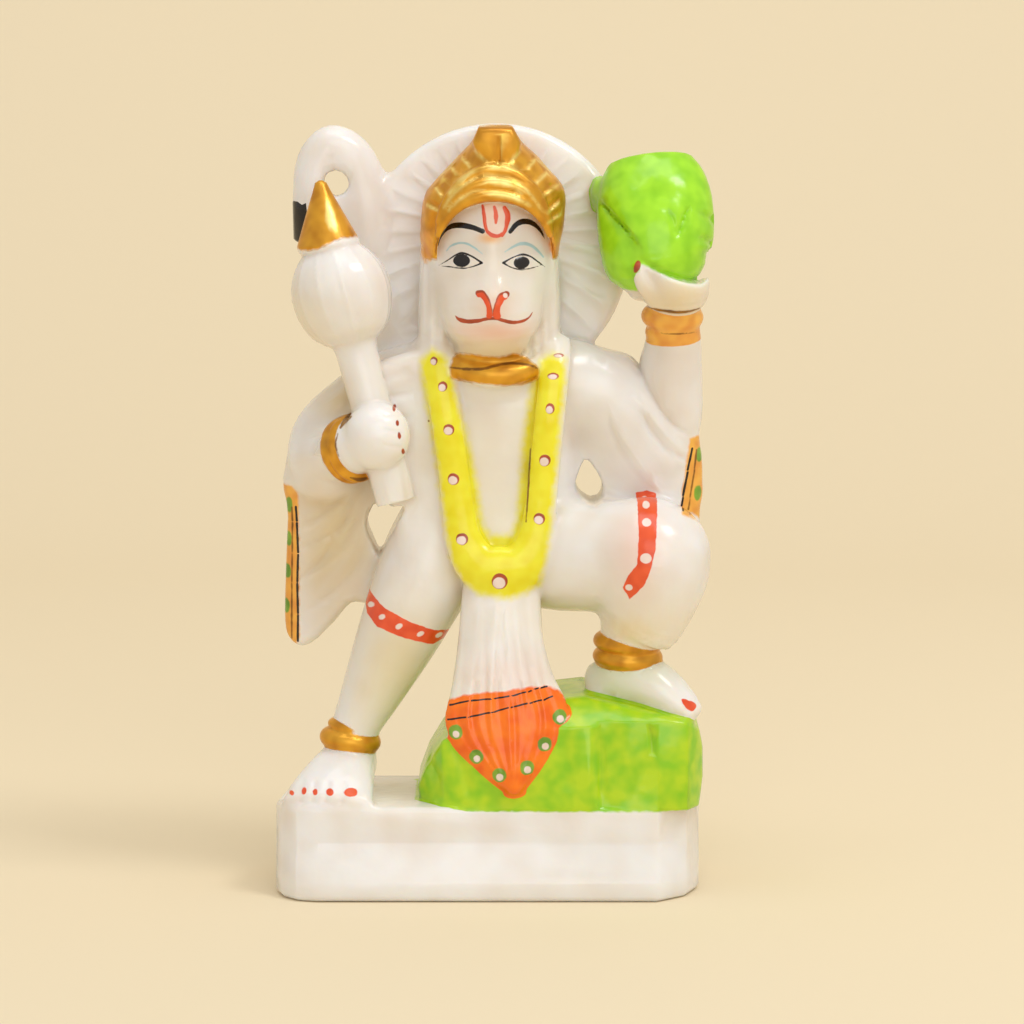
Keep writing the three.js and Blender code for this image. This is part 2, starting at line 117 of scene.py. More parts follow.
def span_distance(start: Flat, end: Flat, u: Array, v: Array) -> tuple[Array, Array]:
    """Measures from points to a straight span on a plane.

    Args:
        start: one end of the span.
        end: the other.
        u: first coordinates of the points.
        v: second coordinates, of a shape that goes with u.

    Returns:
        The squared distances, and how far along the span the nearest place is, from 0 to 1.
    """
    (au, av), (bu, bv) = start, end
    eu, ev = bu - au, bv - av
    t = np.clip(((u - au) * eu + (v - av) * ev) / (eu * eu + ev * ev + TINY), 0, 1)
    return (u - au - t * eu) ** 2 + (v - av - t * ev) ** 2, t


def outline_distance(outline: Array, u: Array, v: Array) -> Array:
    """Measures from points to a closed outline on a plane.

    Args:
        outline: the corners, one row each.
        u: first coordinates of the points.
        v: second coordinates, of a shape that goes with u.

    Returns:
        Distances, negative inside.
    """
    nearest = np.full(np.broadcast_shapes(u.shape, v.shape), UNKNOWN, np.float32)
    inside = np.zeros(nearest.shape, bool)
    for (au, av), (bu, bv) in zip(outline, np.roll(outline, -1, axis=0)):
        nearest = np.minimum(nearest, span_distance((au, av), (bu, bv), u, v)[0])
        if abs(bv - av) > TINY:
            inside ^= ((av > v) != (bv > v)) & (u < au + (v - av) * (bu - au) / (bv - av))
    gap = np.sqrt(nearest)
    return np.where(inside, -gap, gap)


def line_distance(points: Array, u: Array, v: Array) -> tuple[Array, Array]:
    """Measures from points to an open line on a plane.

    Args:
        points: the line's points, one row each.
        u: first coordinates.
        v: second coordinates.

    Returns:
        The distances, and how far along the line the nearest place is, from 0 to 1.
    """
    nearest = np.full(np.broadcast_shapes(u.shape, v.shape), UNKNOWN, np.float32)
    along = np.zeros_like(nearest)
    spans = len(points) - 1
    for i in range(spans):
        gap, t = span_distance(points[i], points[i + 1], u, v)
        closer = gap < nearest
        nearest = np.where(closer, gap, nearest)
        along = np.where(closer, (i + t) / spans, along)
    return np.sqrt(nearest), along


def blend_min(a: Array, b: Array, width: float) -> Array:
    """Joins two distances with a fillet of about that width, in millimetres."""
    if width <= 0:
        return np.minimum(a, b)
    near = np.maximum(width - np.abs(a - b), 0) / width
    return np.minimum(a, b) - near * near * width * 0.25


def egg_distance(offset: Sequence[Array], half: Sequence[Array]) -> Array:
    """Measures from points to the skin of an egg, truly only close to the skin.

    Args:
        offset: how far each point is from the egg's middle, along its three axes.
        half: the egg's half sizes along them.

    Returns:
        Distances, negative inside.
    """
    (u, v, w), (a, b, c) = offset, half
    reach = np.sqrt((u / a) ** 2 + (v / b) ** 2 + (w / c) ** 2)
    steep = np.sqrt((u / a**2) ** 2 + (v / b**2) ** 2 + (w / c**2) ** 2)
    return reach * (reach - 1) / np.maximum(steep, 1e-4)


def round_edge(across: Array, deep: Array, edge: float) -> Array:
    """Rounds the edge where an outline meets flat faces, both distances being edge too large."""
    outside = np.hypot(np.maximum(across, 0), np.maximum(deep, 0))
    return outside + np.minimum(np.maximum(across, deep), 0) - edge


def ease(low: float, high: float, value: Array) -> Array:
    """Rises smoothly from 0 at low to 1 at high."""
    t = np.clip((value - low) / (high - low), 0, 1)
    return t * t * (3 - 2 * t)


# Carved forms


class Form(Protocol):
    """A shape that knows how far any point is from its surface."""

    low: Array
    high: Array

    def distance(self, x: Array, y: Array, z: Array) -> Array:
        """Distances from points to the surface, negative inside."""


@dataclass(eq=False)
class Limb:
    """A rounded form along a smooth line.

    Each station is x, y, z, half width and half thickness. The thickness lies along the facing
    direction. A round end bulges by its own share of the smaller half size.
    """

    stations: Sequence[Station]
    facing: Place = (0, 1, 0)
    start_round: float = 0.7
    end_round: float = 0.7
    steps: int = 4
    flattest: ClassVar[float] = 0.08  # the least bulge of an end
    rows: Array = field(init=False)
    low: Array = field(init=False)
    high: Array = field(init=False)

    def __post_init__(self) -> None:
        """Works out the smooth line, its directions and its box."""
        self.rows = smooth_line(self.stations, self.steps)
        along = np.gradient(self.rows[:, :3], axis=0)
        self.along = along / np.linalg.norm(along, axis=1)[:, None]
        across = np.cross(np.asarray(self.facing, float), self.along)
        self.across = across / np.linalg.norm(across, axis=1)[:, None]
        self.inward = np.cross(self.along, self.across)
        reach = self.rows[:, 3:].max(axis=1)[:, None]
        self.low = (self.rows[:, :3] - reach).min(axis=0)
        self.high = (self.rows[:, :3] + reach).max(axis=0)

    def distance(self, x: Array, y: Array, z: Array) -> Array:
        """Distances from points to the surface, negative inside."""
        shape = np.broadcast_shapes(x.shape, y.shape, z.shape)
        nearest = np.full(shape, UNKNOWN, np.float32)
        station = np.zeros(shape, np.float32)
        points = self.rows[:, :3]
        for i, (p, step) in enumerate(zip(points, np.diff(points, axis=0))):
            length2 = float(step @ step)
            u, v, w = x - p[0], y - p[1], z - p[2]
            run = u * step[0] + v * step[1] + w * step[2]
            t = np.clip(run / length2, 0, 1)
            gap = u * u + v * v + w * w - t * (2 * run - t * length2)
            closer = gap < nearest
            nearest = np.where(closer, gap, nearest)
            station = np.where(closer, i + t, station)
        biggest = float(self.rows[:, 3:].max())
        near = nearest < (biggest + FAR) ** 2
        result = np.full(shape, FAR, np.float32)
        s = station[near]
        places = [np.broadcast_to(axis, shape)[near] for axis in (x, y, z)]
        ticks = np.arange(len(self.rows))
        offset = [place - np.interp(s, ticks, points[:, k]) for k, place in enumerate(places)]

        def part(directions: Array) -> Array:
            """The offset measured along directions that change from station to station."""
            return sum(offset[k] * np.interp(s, ticks, directions[:, k]) for k in range(3))

        a = np.interp(s, ticks, self.rows[:, 3])
        b = np.interp(s, ticks, self.rows[:, 4])
        last = len(self.rows) - 1
        bulge = np.where(s <= 0, self.start_round, np.where(s >= last, self.end_round, 1.0))
        c = np.maximum(bulge, self.flattest) * np.minimum(a, b)
        parts = [part(axis) for axis in (self.across, self.inward, self.along)]
        result[near] = egg_distance(parts, (a, b, c))
        return np.minimum(result, FAR)


@dataclass(eq=False)
class Egg:
    """An egg with its middle at a place and its half sizes along x, y and z."""

    centre: Place
    half: Place

    def __post_init__(self) -> None:
        """Works out its box."""
        self.low = np.subtract(self.centre, self.half)
        self.high = np.add(self.centre, self.half)

    def distance(self, x: Array, y: Array, z: Array) -> Array:
        """Distances from points to the surface, negative inside."""
        return egg_distance([axis - middle for axis, middle in zip((x, y, z), self.centre)], self.half)


@dataclass(eq=False)
class Slab:
    """A slab between two depths with an outline seen from the front and rounded edges."""

    outline: Sequence[Flat]
    front: float
    back: float
    edge: float = 1.5
    rounded: bool = True

    def __post_init__(self) -> None:
        """Works out its outline and box."""
        self.ring = smooth_ring(self.outline) if self.rounded else np.asarray(self.outline, float)
        (x0, z0), (x1, z1) = self.ring.min(axis=0), self.ring.max(axis=0)
        self.low = np.array([x0, self.front, z0])
        self.high = np.array([x1, self.back, z1])

    def distance(self, x: Array, y: Array, z: Array) -> Array:
        """Distances from points to the surface, negative inside."""
        sideways = outline_distance(self.ring, x, z) + self.edge
        deep = np.abs(y - (self.front + self.back) / 2) - (self.back - self.front) / 2 + self.edge
        return round_edge(sideways, deep, self.edge)


@dataclass(eq=False)
class Bangle:
    """A thick ring round a wrist or an ankle, filled, with a rolled rim."""

    start: Place
    towards: Place
    radius: float
    height: float
    lower_share: float = 0.5  # of the height that the lower of its two rolls takes
    flatness: ClassVar[float] = 1.04
    roll_fillet: ClassVar[float] = 0.5
    core_fillet: ClassVar[float] = 0.6

    def __post_init__(self) -> None:
        """Works out its axis and box."""
        axis = np.subtract(self.towards, self.start)
        self.axis = axis / np.linalg.norm(axis)
        middle = np.add(self.start, self.axis * self.height / 2)
        self.low = middle - self.radius - self.height / 2
        self.high = middle + self.radius + self.height / 2

    def distance(self, x: Array, y: Array, z: Array) -> Array:
        """Distances from points to the surface, negative inside."""
        u, v, w = x - self.start[0], y - self.start[1], z - self.start[2]
        up = u * self.axis[0] + v * self.axis[1] + w * self.axis[2]
        out = np.sqrt(np.maximum(u * u + v * v + w * w - up * up, 0))
        low, high = self.height * self.lower_share / 2, self.height * (1 - self.lower_share) / 2
        inner = self.radius - max(low, high)
        lower = np.hypot(out - inner, (up - low) * self.flatness) - low
        upper = np.hypot(out - inner, (up - self.height + high) * self.flatness) - high
        core = np.maximum(out - inner, np.abs(up - self.height / 2) - self.height / 2)
        return blend_min(blend_min(lower, upper, self.roll_fillet), core, self.core_fillet)


@dataclass(eq=False)
class Turned:
    """A form turned about a leaning axis, with lobes round it where its profile asks for them.

    Each ring of the profile is radius, height along the axis and depth of the furrows between lobes.
    """

    start: Place
    end: Place
    profile: Sequence[Place]
    lobes: int
    first_furrow: float = 0.0
    sharpness: ClassVar[int] = 20  # how narrow the furrows are

    def __post_init__(self) -> None:
        """Works out its axes, outline and box."""
        axis = np.subtract(self.end, self.start)
        self.axis = axis / np.linalg.norm(axis)
        across = np.cross([0, 1, 0], self.axis)
        self.across = across / np.linalg.norm(across)
        self.inward = np.cross(self.axis, self.across)
        rows = smooth_line(self.profile, 5)
        self.rows = rows
        self.ring = np.vstack([rows[:, :2], np.column_stack([-rows[::-1, 0], rows[::-1, 1]])])
        ends = np.array([np.add(self.start, self.axis * h) for h in (rows[0, 1], rows[-1, 1])])
        reach = rows[:, 0].max()
        self.low = ends.min(axis=0) - reach
        self.high = ends.max(axis=0) + reach

    def distance(self, x: Array, y: Array, z: Array) -> Array:
        """Distances from points to the surface, negative inside."""
        u, v, w = x - self.start[0], y - self.start[1], z - self.start[2]
        up = u * self.axis[0] + v * self.axis[1] + w * self.axis[2]
        side = u * self.across[0] + v * self.across[1] + w * self.across[2]
        deep = u * self.inward[0] + v * self.inward[1] + w * self.inward[2]
        out = np.hypot(side, deep)
        furrow = np.interp(up, self.rows[:, 1], self.rows[:, 2])
        turn = np.arctan2(deep, side) - self.first_furrow
        lobe = np.abs(np.cos(turn * self.lobes / 2)) ** self.sharpness
        return outline_distance(self.ring, out, up) + furrow * lobe


class Block:
    """The stone, as distances to its surface on an even grid of points."""

    spare = 0.6  # how much farther than a form's box its distances count
    fade_share = 6.0  # a crease fades over one part in this many of its length, at each end
    faded = 0.25  # how deep it still is at its ends
    slope_share = 0.75  # of a step, to either side of a place whose slope is measured

    def __init__(self, low: Place, high: Place, step: float) -> None:
        """Lays out the grid, with nothing in it yet."""
        self.step = step
        self.axes = tuple(np.arange(a, b + step, step, dtype=np.float32) for a, b in zip(low, high))
        self.gap = np.full(tuple(len(axis) for axis in self.axes), FAR, np.float32)

    def window(self, low: Array, high: Array, margin: float) -> tuple[tuple, tuple[Array, Array, Array]]:
        """Finds the part of the grid round a box.

        Args:
            low: the box's lowest corner.
            high: its highest corner.
            margin: how far the part reaches past the box.

        Returns:
            The slices of the grid, and the x, y and z of its points.
        """
        cuts = []
        for axis, a, b in zip(self.axes, low, high):
            first, last = np.searchsorted(axis, (a - margin, b + margin))
            cuts.append(slice(int(first), int(last)))
        x, y, z = (axis[cut] for axis, cut in zip(self.axes, cuts))
        return tuple(cuts), (x[:, None, None], y[None, :, None], z[None, None, :])

    def around(self, form: Form, fillet: float) -> tuple[tuple, tuple[Array, Array, Array]]:
        """The part of the grid that a form changes, with a margin for its fillet."""
        return self.window(form.low, form.high, fillet + 2 * self.step + self.spare)

    def join(self, form: Form, fillet: float = 1.5) -> None:
        """Adds a form, with a fillet of that width where it meets the rest."""
        cuts, points = self.around(form, fillet)
        self.gap[cuts] = blend_min(self.gap[cuts], form.distance(*points).astype(np.float32), fillet)

    def cut(self, form: Form, fillet: float = 0.6) -> None:
        """Takes a form away, with softened edges."""
        cuts, points = self.around(form, fillet)
        self.gap[cuts] = -blend_min(-self.gap[cuts], form.distance(*points).astype(np.float32), fillet)

    def press(self, low: Place, high: Place, depth: Callable[[Array, Array, Array], Array]) -> None:
        """Sinks the surface inside a box by a depth that varies from place to place."""
        cuts, points = self.window(np.asarray(low), np.asarray(high), 0)
        self.gap[cuts] += np.asarray(depth(*points), dtype=np.float32)

    def crease(self, line: Sequence[Flat], low: Place, high: Place, width: float, depth: float) -> None:
        """Presses a soft groove along a line seen from the front, fading at its ends."""
        points = smooth_line(line, 4)

        def groove(x: Array, y: Array, z: Array) -> Array:
            """Depth of the groove."""
            gap, along = line_distance(points, x + 0 * z, z + 0 * x)
            fade = np.clip(np.minimum(along, 1 - along) * self.fade_share, 0, 1)
            strength = self.faded + (1 - self.faded) * fade
            return depth * np.exp(-((gap / width) ** 2)) * strength * np.ones_like(y)

        self.press(low, high, groove)

    def sample(self, points: Array) -> Array:
        """Reads the distance at places between the grid's points.

        Args:
            points: the places, one row each.

        Returns:
            The distances.
        """
        origin = np.array([axis[0] for axis in self.axes])
        spot = (points - origin) / self.step
        base = np.clip(np.floor(spot).astype(int), 0, np.array(self.gap.shape) - 2)
        part = spot - base
        total = np.zeros(len(points))
        for i in (0, 1):
            for j in (0, 1):
                for k in (0, 1):
                    weight = (
                        np.abs(1 - i - part[:, 0]) * np.abs(1 - j - part[:, 1]) * np.abs(1 - k - part[:, 2])
                    )
                    total += weight * self.gap[base[:, 0] + i, base[:, 1] + j, base[:, 2] + k]
        return total

    def slope(self, points: Array) -> Array:
        """The outward direction of the surface at places near it, one row each."""
        steps = np.eye(3) * self.step * self.slope_share
        slope = np.column_stack([self.sample(points + s) - self.sample(points - s) for s in steps])
        return slope / np.maximum(np.linalg.norm(slope, axis=1), TINY)[:, None]

    def surface(self) -> tuple[Array, Array]:
        """Finds the surface as a mesh with one point in each grid cell that it passes through.

        Returns:
            The points, and the four point numbers of each face.
        """
        inside = self.gap < 0
        corners = [(i, j, k) for i in (0, 1) for j in (0, 1) for k in (0, 1)]
        size = np.array(inside.shape) - 1
        count = np.zeros(size, np.uint8)
        for i, j, k in corners:
            count += inside[i : size[0] + i, j : size[1] + j, k : size[2] + k]
        cells = np.argwhere((count > 0) & (count < 8))
        number = np.full(size, -1, np.int32)
        number[tuple(cells.T)] = np.arange(len(cells))
        values = np.column_stack([self.gap[tuple((cells + corner).T)] for corner in corners])
        total = np.zeros((len(cells), 3))
        crossings = np.zeros(len(cells))
        for a, low in enumerate(corners):
            for b, high in enumerate(corners):
                if a >= b or sum(abs(p - q) for p, q in zip(low, high)) != 1:
                    continue
                da, db = values[:, a], values[:, b]
                crossed = (da < 0) != (db < 0)
                share = np.where(crossed, da / np.where(crossed, da - db, 1), 0)
                spot = np.array(low) + share[:, None] * (np.array(high) - np.array(low))
                total += spot * crossed[:, None]
                crossings += crossed
        origin = np.array([axis[0] for axis in self.axes])
        points = origin + self.step * (cells + total / crossings[:, None])
        faces = []
        for axis in range(3):
            ahead = [slice(None)] * 3
            behind = [slice(None)] * 3
            ahead[axis], behind[axis] = slice(1, None), slice(None, -1)
            first, second = inside[tuple(behind)], inside[tuple(ahead)]
            edges = np.argwhere(first != second)
            u, v = (axis + 1) % 3, (axis + 2) % 3
            edges = edges[(edges[:, u] > 0) & (edges[:, v] > 0)]
            du, dv = np.eye(3, dtype=int)[u], np.eye(3, dtype=int)[v]
            ring = np.column_stack(
                [number[tuple((edges - shift).T)] for shift in (0 * du, du, du + dv, dv)]
            )
            flip = ~first[tuple(edges.T)]
            ring[flip] = ring[flip][:, ::-1]
            faces.append(ring)
        quads = np.vstack(faces)
        return points, quads[(quads >= 0).all(axis=1)]


# The carving


class Part:
    """A part of the figure whose forms are joined one after another."""

    fillets: ClassVar[dict[str, float]] = {}  # the forms by name, in order, with the width of each fillet

    def carve(self, block: Block) -> None:
        """Cuts the forms."""
        for name, fillet in self.fillets.items():
            block.join(getattr(self, name), fillet)


@dataclass(eq=False)
class Plinth:
    """The block underfoot, with its front corners taken off and a sloped foot along its front."""

    height: float = PLINTH_TOP
    half_width: float = 42.2
    half_depth: float = 18.0
    foot_reach: float = 2.8
    foot_top: float = -7.0
    foot_bottom: float = -14.6
    edge: float = 1.3
    corner: Flat = (8.6, 13.0)
    back_corner: float = 3.0

    def __post_init__(self) -> None:
        """Works out the outline seen from above and the box."""
        w, d = self.half_width, self.half_depth + 2.0
        cut_x, cut_y = self.corner
        right = [
            (w - cut_x, -d), (w - cut_x * 0.32, -d + cut_y * 0.42), (w, -d + cut_y),
            (w, self.half_depth - self.back_corner), (w - self.back_corner, self.half_depth),
        ]
        left = [
            (-w + 8, self.half_depth), (-w + 3.6, self.half_depth - 3), (-w + 1.6, self.half_depth - 12),
            (-w, -d + cut_y * 0.75), (-w + 1.4, -d + cut_y * 0.36), (-w + 4.4, -d + 1.2), (-w + cut_x, -d),
        ]
        self.ring = np.array(right + left)
        self.low = np.array([-w, -d, -self.height])
        self.high = np.array([w, self.half_depth, 0.0])

    def distance(self, x: Array, y: Array, z: Array) -> Array:
        """Distances from points to the surface, negative inside."""
        shift = self.foot_reach * np.clip((z - self.foot_bottom) / (self.foot_top - self.foot_bottom), 0, 1)
        back = np.clip((self.half_depth - y) / (2 * self.half_depth), 0, 1)
        plan = outline_distance(self.ring, x + 0 * z, y - shift * back) + self.edge
        tall = np.abs(z + self.height / 2) - self.height / 2 + self.edge
        return round_edge(plan, tall, self.edge)

    def carve(self, block: Block) -> None:
        """Cuts the plinth."""
        block.join(self, 0)


@dataclass(eq=False)
class Rock:
    """The chiselled rock under the raised foot."""

    front_outline: tuple[Flat, ...] = (
        (-13.4, -0.9), (42, -0.9), (42.9, 5), (42.8, 11), (42, 14.6), (39.6, 16.8), (30, 19.2), (19, 21.3),
        (8, 20), (-3, 16.8), (-9, 13), (-12, 8), (-14, 2.6),
    )
    plan: tuple[Flat, ...] = (
        (-16, 13), (-15.4, -7), (-9, -15.4), (-3, -17), (21.4, -17.7), (22.5, -16.4), (34, -17.2),
        (39.6, -16.2), (43, -9.6), (43, 10), (38, 14), (-10, 14),
    )

    def __post_init__(self) -> None:
        """Makes the two shapes that the rock is the overlap of."""
        self.body = Slab(self.front_outline, -17.8, 14, 1.4, rounded=False)
        self.seen_from_above = np.array(self.plan)
        self.low, self.high = self.body.low, self.body.high

    def distance(self, x: Array, y: Array, z: Array) -> Array:
        """Distances from points to the surface, negative inside."""
        body = self.body.distance(x, y, z)
        plan = outline_distance(self.seen_from_above, x, y)
        brow = ((y + 17.6) * -0.62 + (z - 17.2 - 0.04 * (x - 20)) * 0.78) + 0.8
        facets = np.maximum(plan, brow + 0 * x)
        return -blend_min(-body, -facets, 0.7)

    def carve(self, block: Block) -> None:
        """Cuts the rock, with the flat strokes of the chisel left on its front."""
        block.join(self, 0.4)
        low, high = (-16, -20, 0), (44, -8, 24)
        for line, width, depth in (
            (((21.2, 17.4), (21.8, 12), (22, 6), (22.2, 0.5)), 1.1, 0.55),
            (((31.9, 16.4), (32.4, 14), (32.5, 10.5)), 0.5, 0.8),
            (((26, 17.5), (26.8, 11), (27, 4)), 1.6, 0.2),
            (((13, 17), (15.5, 10), (16, 3)), 1.8, 0.2),
            (((-12, 9), (-9.5, 5), (-9, 0.5)), 1.1, 0.5),
            (((-7, 14), (-4.6, 8), (-3, 1)), 1.3, 0.4),
        ):
            block.crease(line, low, high, width, depth)


@dataclass(eq=False)
class StandingLeg(Part):
    """The straight leg with its foot flat on the plinth."""

    fillets: ClassVar = {"leg": 3, "foot": 2, "anklet": 0.5}
    leg: Limb = Limb((
        (-4, 2, 60, 9.5, 9), (-9.8, 1, 49.5, 10.4, 9.5), (-14.8, -0.5, 39, 9.2, 9),
        (-18.9, -1.5, 30, 7.9, 8), (-23.1, -2, 21, 6.2, 6.6), (-26.5, -2, 13.4, 4.8, 5.2),
        (-27.6, -1.5, 7, 4.8, 5.6),
    ))
    foot: Limb = Limb((
        (-27.4, 6, 2.6, 4, 3.6), (-27.9, 1, 5, 5.2, 5.4), (-29.2, -5, 4.8, 6.8, 5.2),
        (-30.8, -10.6, 2.6, 8.4, 4), (-31.6, -14.6, 0.8, 8.8, 2.6),
    ), facing=(0, 0, 1))
    anklet: Bangle = Bangle((-27.9, -2, 9), (-27, -2, 15), 6.2, 5.6, 0.72)

    def carve(self, block: Block) -> None:
        """Cuts the leg, the foot and the anklet, and parts the toes."""
        super().carve(block)
        for x in (-36.9, -34.4, -31.8, -28.6):
            line = ((x + 0.5, 5.0), (x, 2.5), (x - 0.3, -1.5))
            block.crease(line, (-42, -20, 0.6), (-20, -6, 9), 0.6, 0.22)


@dataclass(eq=False)
class BentLeg(Part):
    """The bent leg with its knee forward and its foot on the rock."""

    fillets: ClassVar = {"thigh": 3, "knee": 3, "shin": 3, "foot": 1.6, "anklet": 0.5}
    thigh: Limb = Limb((
        (0, 3, 52, 9.5, 9), (10, 0.5, 49, 11.4, 10), (21, -3.5, 48.4, 11.2, 10.4), (31, -7, 49, 10.4, 10.2),
    ))
    knee: Egg = Egg((32.6, -7.4, 49.4), (11.3, 10.8, 10.7))
    shin: Limb = Limb((
        (34.2, -8, 50, 8.6, 9.5), (33.2, -8, 45, 10.2, 10.4), (30.8, -7.4, 37, 8.8, 9),
        (29.2, -6.8, 34, 7.2, 7.4), (28.4, -6.2, 31, 5.9, 6.2), (27.8, -5.6, 26, 5.4, 6),
    ))
    foot: Limb = Limb((
        (22.8, -4, 22.8, 4.4, 4.4), (27.4, -6, 24.6, 5.4, 5.2), (33.4, -8.6, 22.9, 5.4, 4.8),
        (38.2, -10.4, 19.8, 4.8, 3.4), (40.4, -11.2, 18.2, 3.7, 2.2),
    ), facing=(0, 0, 1))
    anklet: Bangle = Bangle((27.8, -5.8, 26.9), (28.0, -6.3, 33.2), 7.0, 6.3)


@dataclass(eq=False)
class Torso(Part):
    """Hips, belly, chest and shoulders, with the roll of the collar."""

    fillets: ClassVar = {"trunk": 3, "collar": 1.6}
    trunk: Limb = Limb((
        (3, 2, 43, 11.5, 7.5), (2.4, 1.2, 50, 15, 9.2), (1.7, 1, 58, 15.4, 9.2), (1.2, 1, 68, 15.8, 9.4),
        (1.1, 1.2, 78, 17.6, 9.8), (1.2, 2, 84.6, 18.6, 9), (1.2, 3, 89.4, 14, 7.4), (1.2, 3, 94, 8.6, 7.4),
    ), start_round=0.4)
    collar: Limb = Limb((
        (-8, -5.4, 87.6, 1.6, 1.6), (-4, -8.6, 85.7, 2, 2), (1.4, -9.8, 84.8, 2.2, 2.2),
        (6.8, -8.8, 85.5, 2, 2), (10.6, -5.6, 87.4, 1.6, 1.6),
    ))


@dataclass(eq=False)
class Garland(Part):
    """The long garland, a flat soft roll from the neck to below the waist."""

    fillets: ClassVar = {"roll": 1.4}
    half_widths: tuple[float, ...] = (2.8, 2.9, 3, 3, 3.2, 3.7, 4.6)
    down: tuple[Flat, ...] = (
        (-2, 91), (-6.6, 86.5), (-8.8, 78), (-8.9, 68), (-9, 58), (-9.4, 52), (-10, 47.4),
    )
    left_x: tuple[float, ...] = (-10.8, -10, -8.4, -7, -5.7, -4.6, -1.8)
    right_x: tuple[float, ...] = (13.8, 13.4, 12.4, 11.4, 10.4, 9.4, 6.8)
    lowest: Station = (2.5, -10.4, 46, 5.1, 2.6)

    def __post_init__(self) -> None:
        """Makes the roll, down one side and up the other."""

        def side(xs: Sequence[float]) -> list[Station]:
            """The stations of one strand, from the neck down."""
            rows = zip(xs, self.down, self.half_widths)
            return [(x, y, z, half, half / 2 + 0.3) for x, (y, z), half in rows]

        self.roll = Limb((*side(self.left_x), self.lowest, *side(self.right_x)[::-1]))


@dataclass(eq=False)
class Sash:
    """The pleated end of the loincloth, which falls between the legs to a point on the rock."""

    cloth: Limb = Limb((
        (2.6, -6, 47, 7.2, 4.6), (2.7, -8.4, 41, 7.8, 4.2), (2.6, -10.6, 33, 8.4, 3.8),
        (3, -12.6, 25, 10, 3.4), (3.7, -14.2, 18.4, 12.2, 3), (4.2, -15.4, 13.4, 10.6, 2.8),
        (4.9, -16.6, 7.4, 5.6, 2.6), (5.4, -17.2, 3.4, 1.6, 2),
    ), end_round=0.5)
    pleats: int = 9
    ridges: tuple[tuple[Flat, ...], ...] = (
        ((-1.6, 41), (-1.9, 35.6), (-2.4, 29), (-3.8, 19.6), (-3.4, 13)),
        ((1.8, 40), (1.55, 35.6), (1, 28), (0.5, 19), (1.4, 9)),
        ((3.6, 40), (3.8, 35.6), (4.2, 28), (4.4, 19), (4.6, 7)),
        ((5.3, 40), (5.65, 35.6), (6.4, 29), (7.85, 18), (7.2, 10)),
        ((6.4, 40.6), (6.9, 35.6), (7.8, 30)), ((7.8, 41), (8.5, 35.6), (9.6, 28), (11.3, 18), (10.6, 13)),
    )

    def carve(self, block: Block) -> None:
        """Cuts the cloth, then its pleats."""
        block.join(self.cloth, 1.2)
        rows = self.cloth.rows

        def pleat(x: Array, y: Array, z: Array) -> Array:
            """Depth of the furrows between pleats."""
            centre = np.interp(-z, -rows[:, 2], rows[:, 0])
            half = np.interp(-z, -rows[:, 2], rows[:, 3])
            share = (x - centre) / half
            furrow = np.abs(np.cos(share * self.pleats * math.pi / 2)) ** 1.5
            inside = 1 - ease(0.82, 1.04, np.abs(share))
            tall = ease(3, 7, z) * (1 - ease(30, 38, z))
            return 0.28 * (1 - furrow) * inside * tall * (1 - ease(-8, -5, y))

        block.press((-10, -22, 1), (18, -3, 48), pleat)
        for line in self.ridges:
            block.crease(line, (-10, -22, 3), (18, -3, 44), 0.45, -0.28)


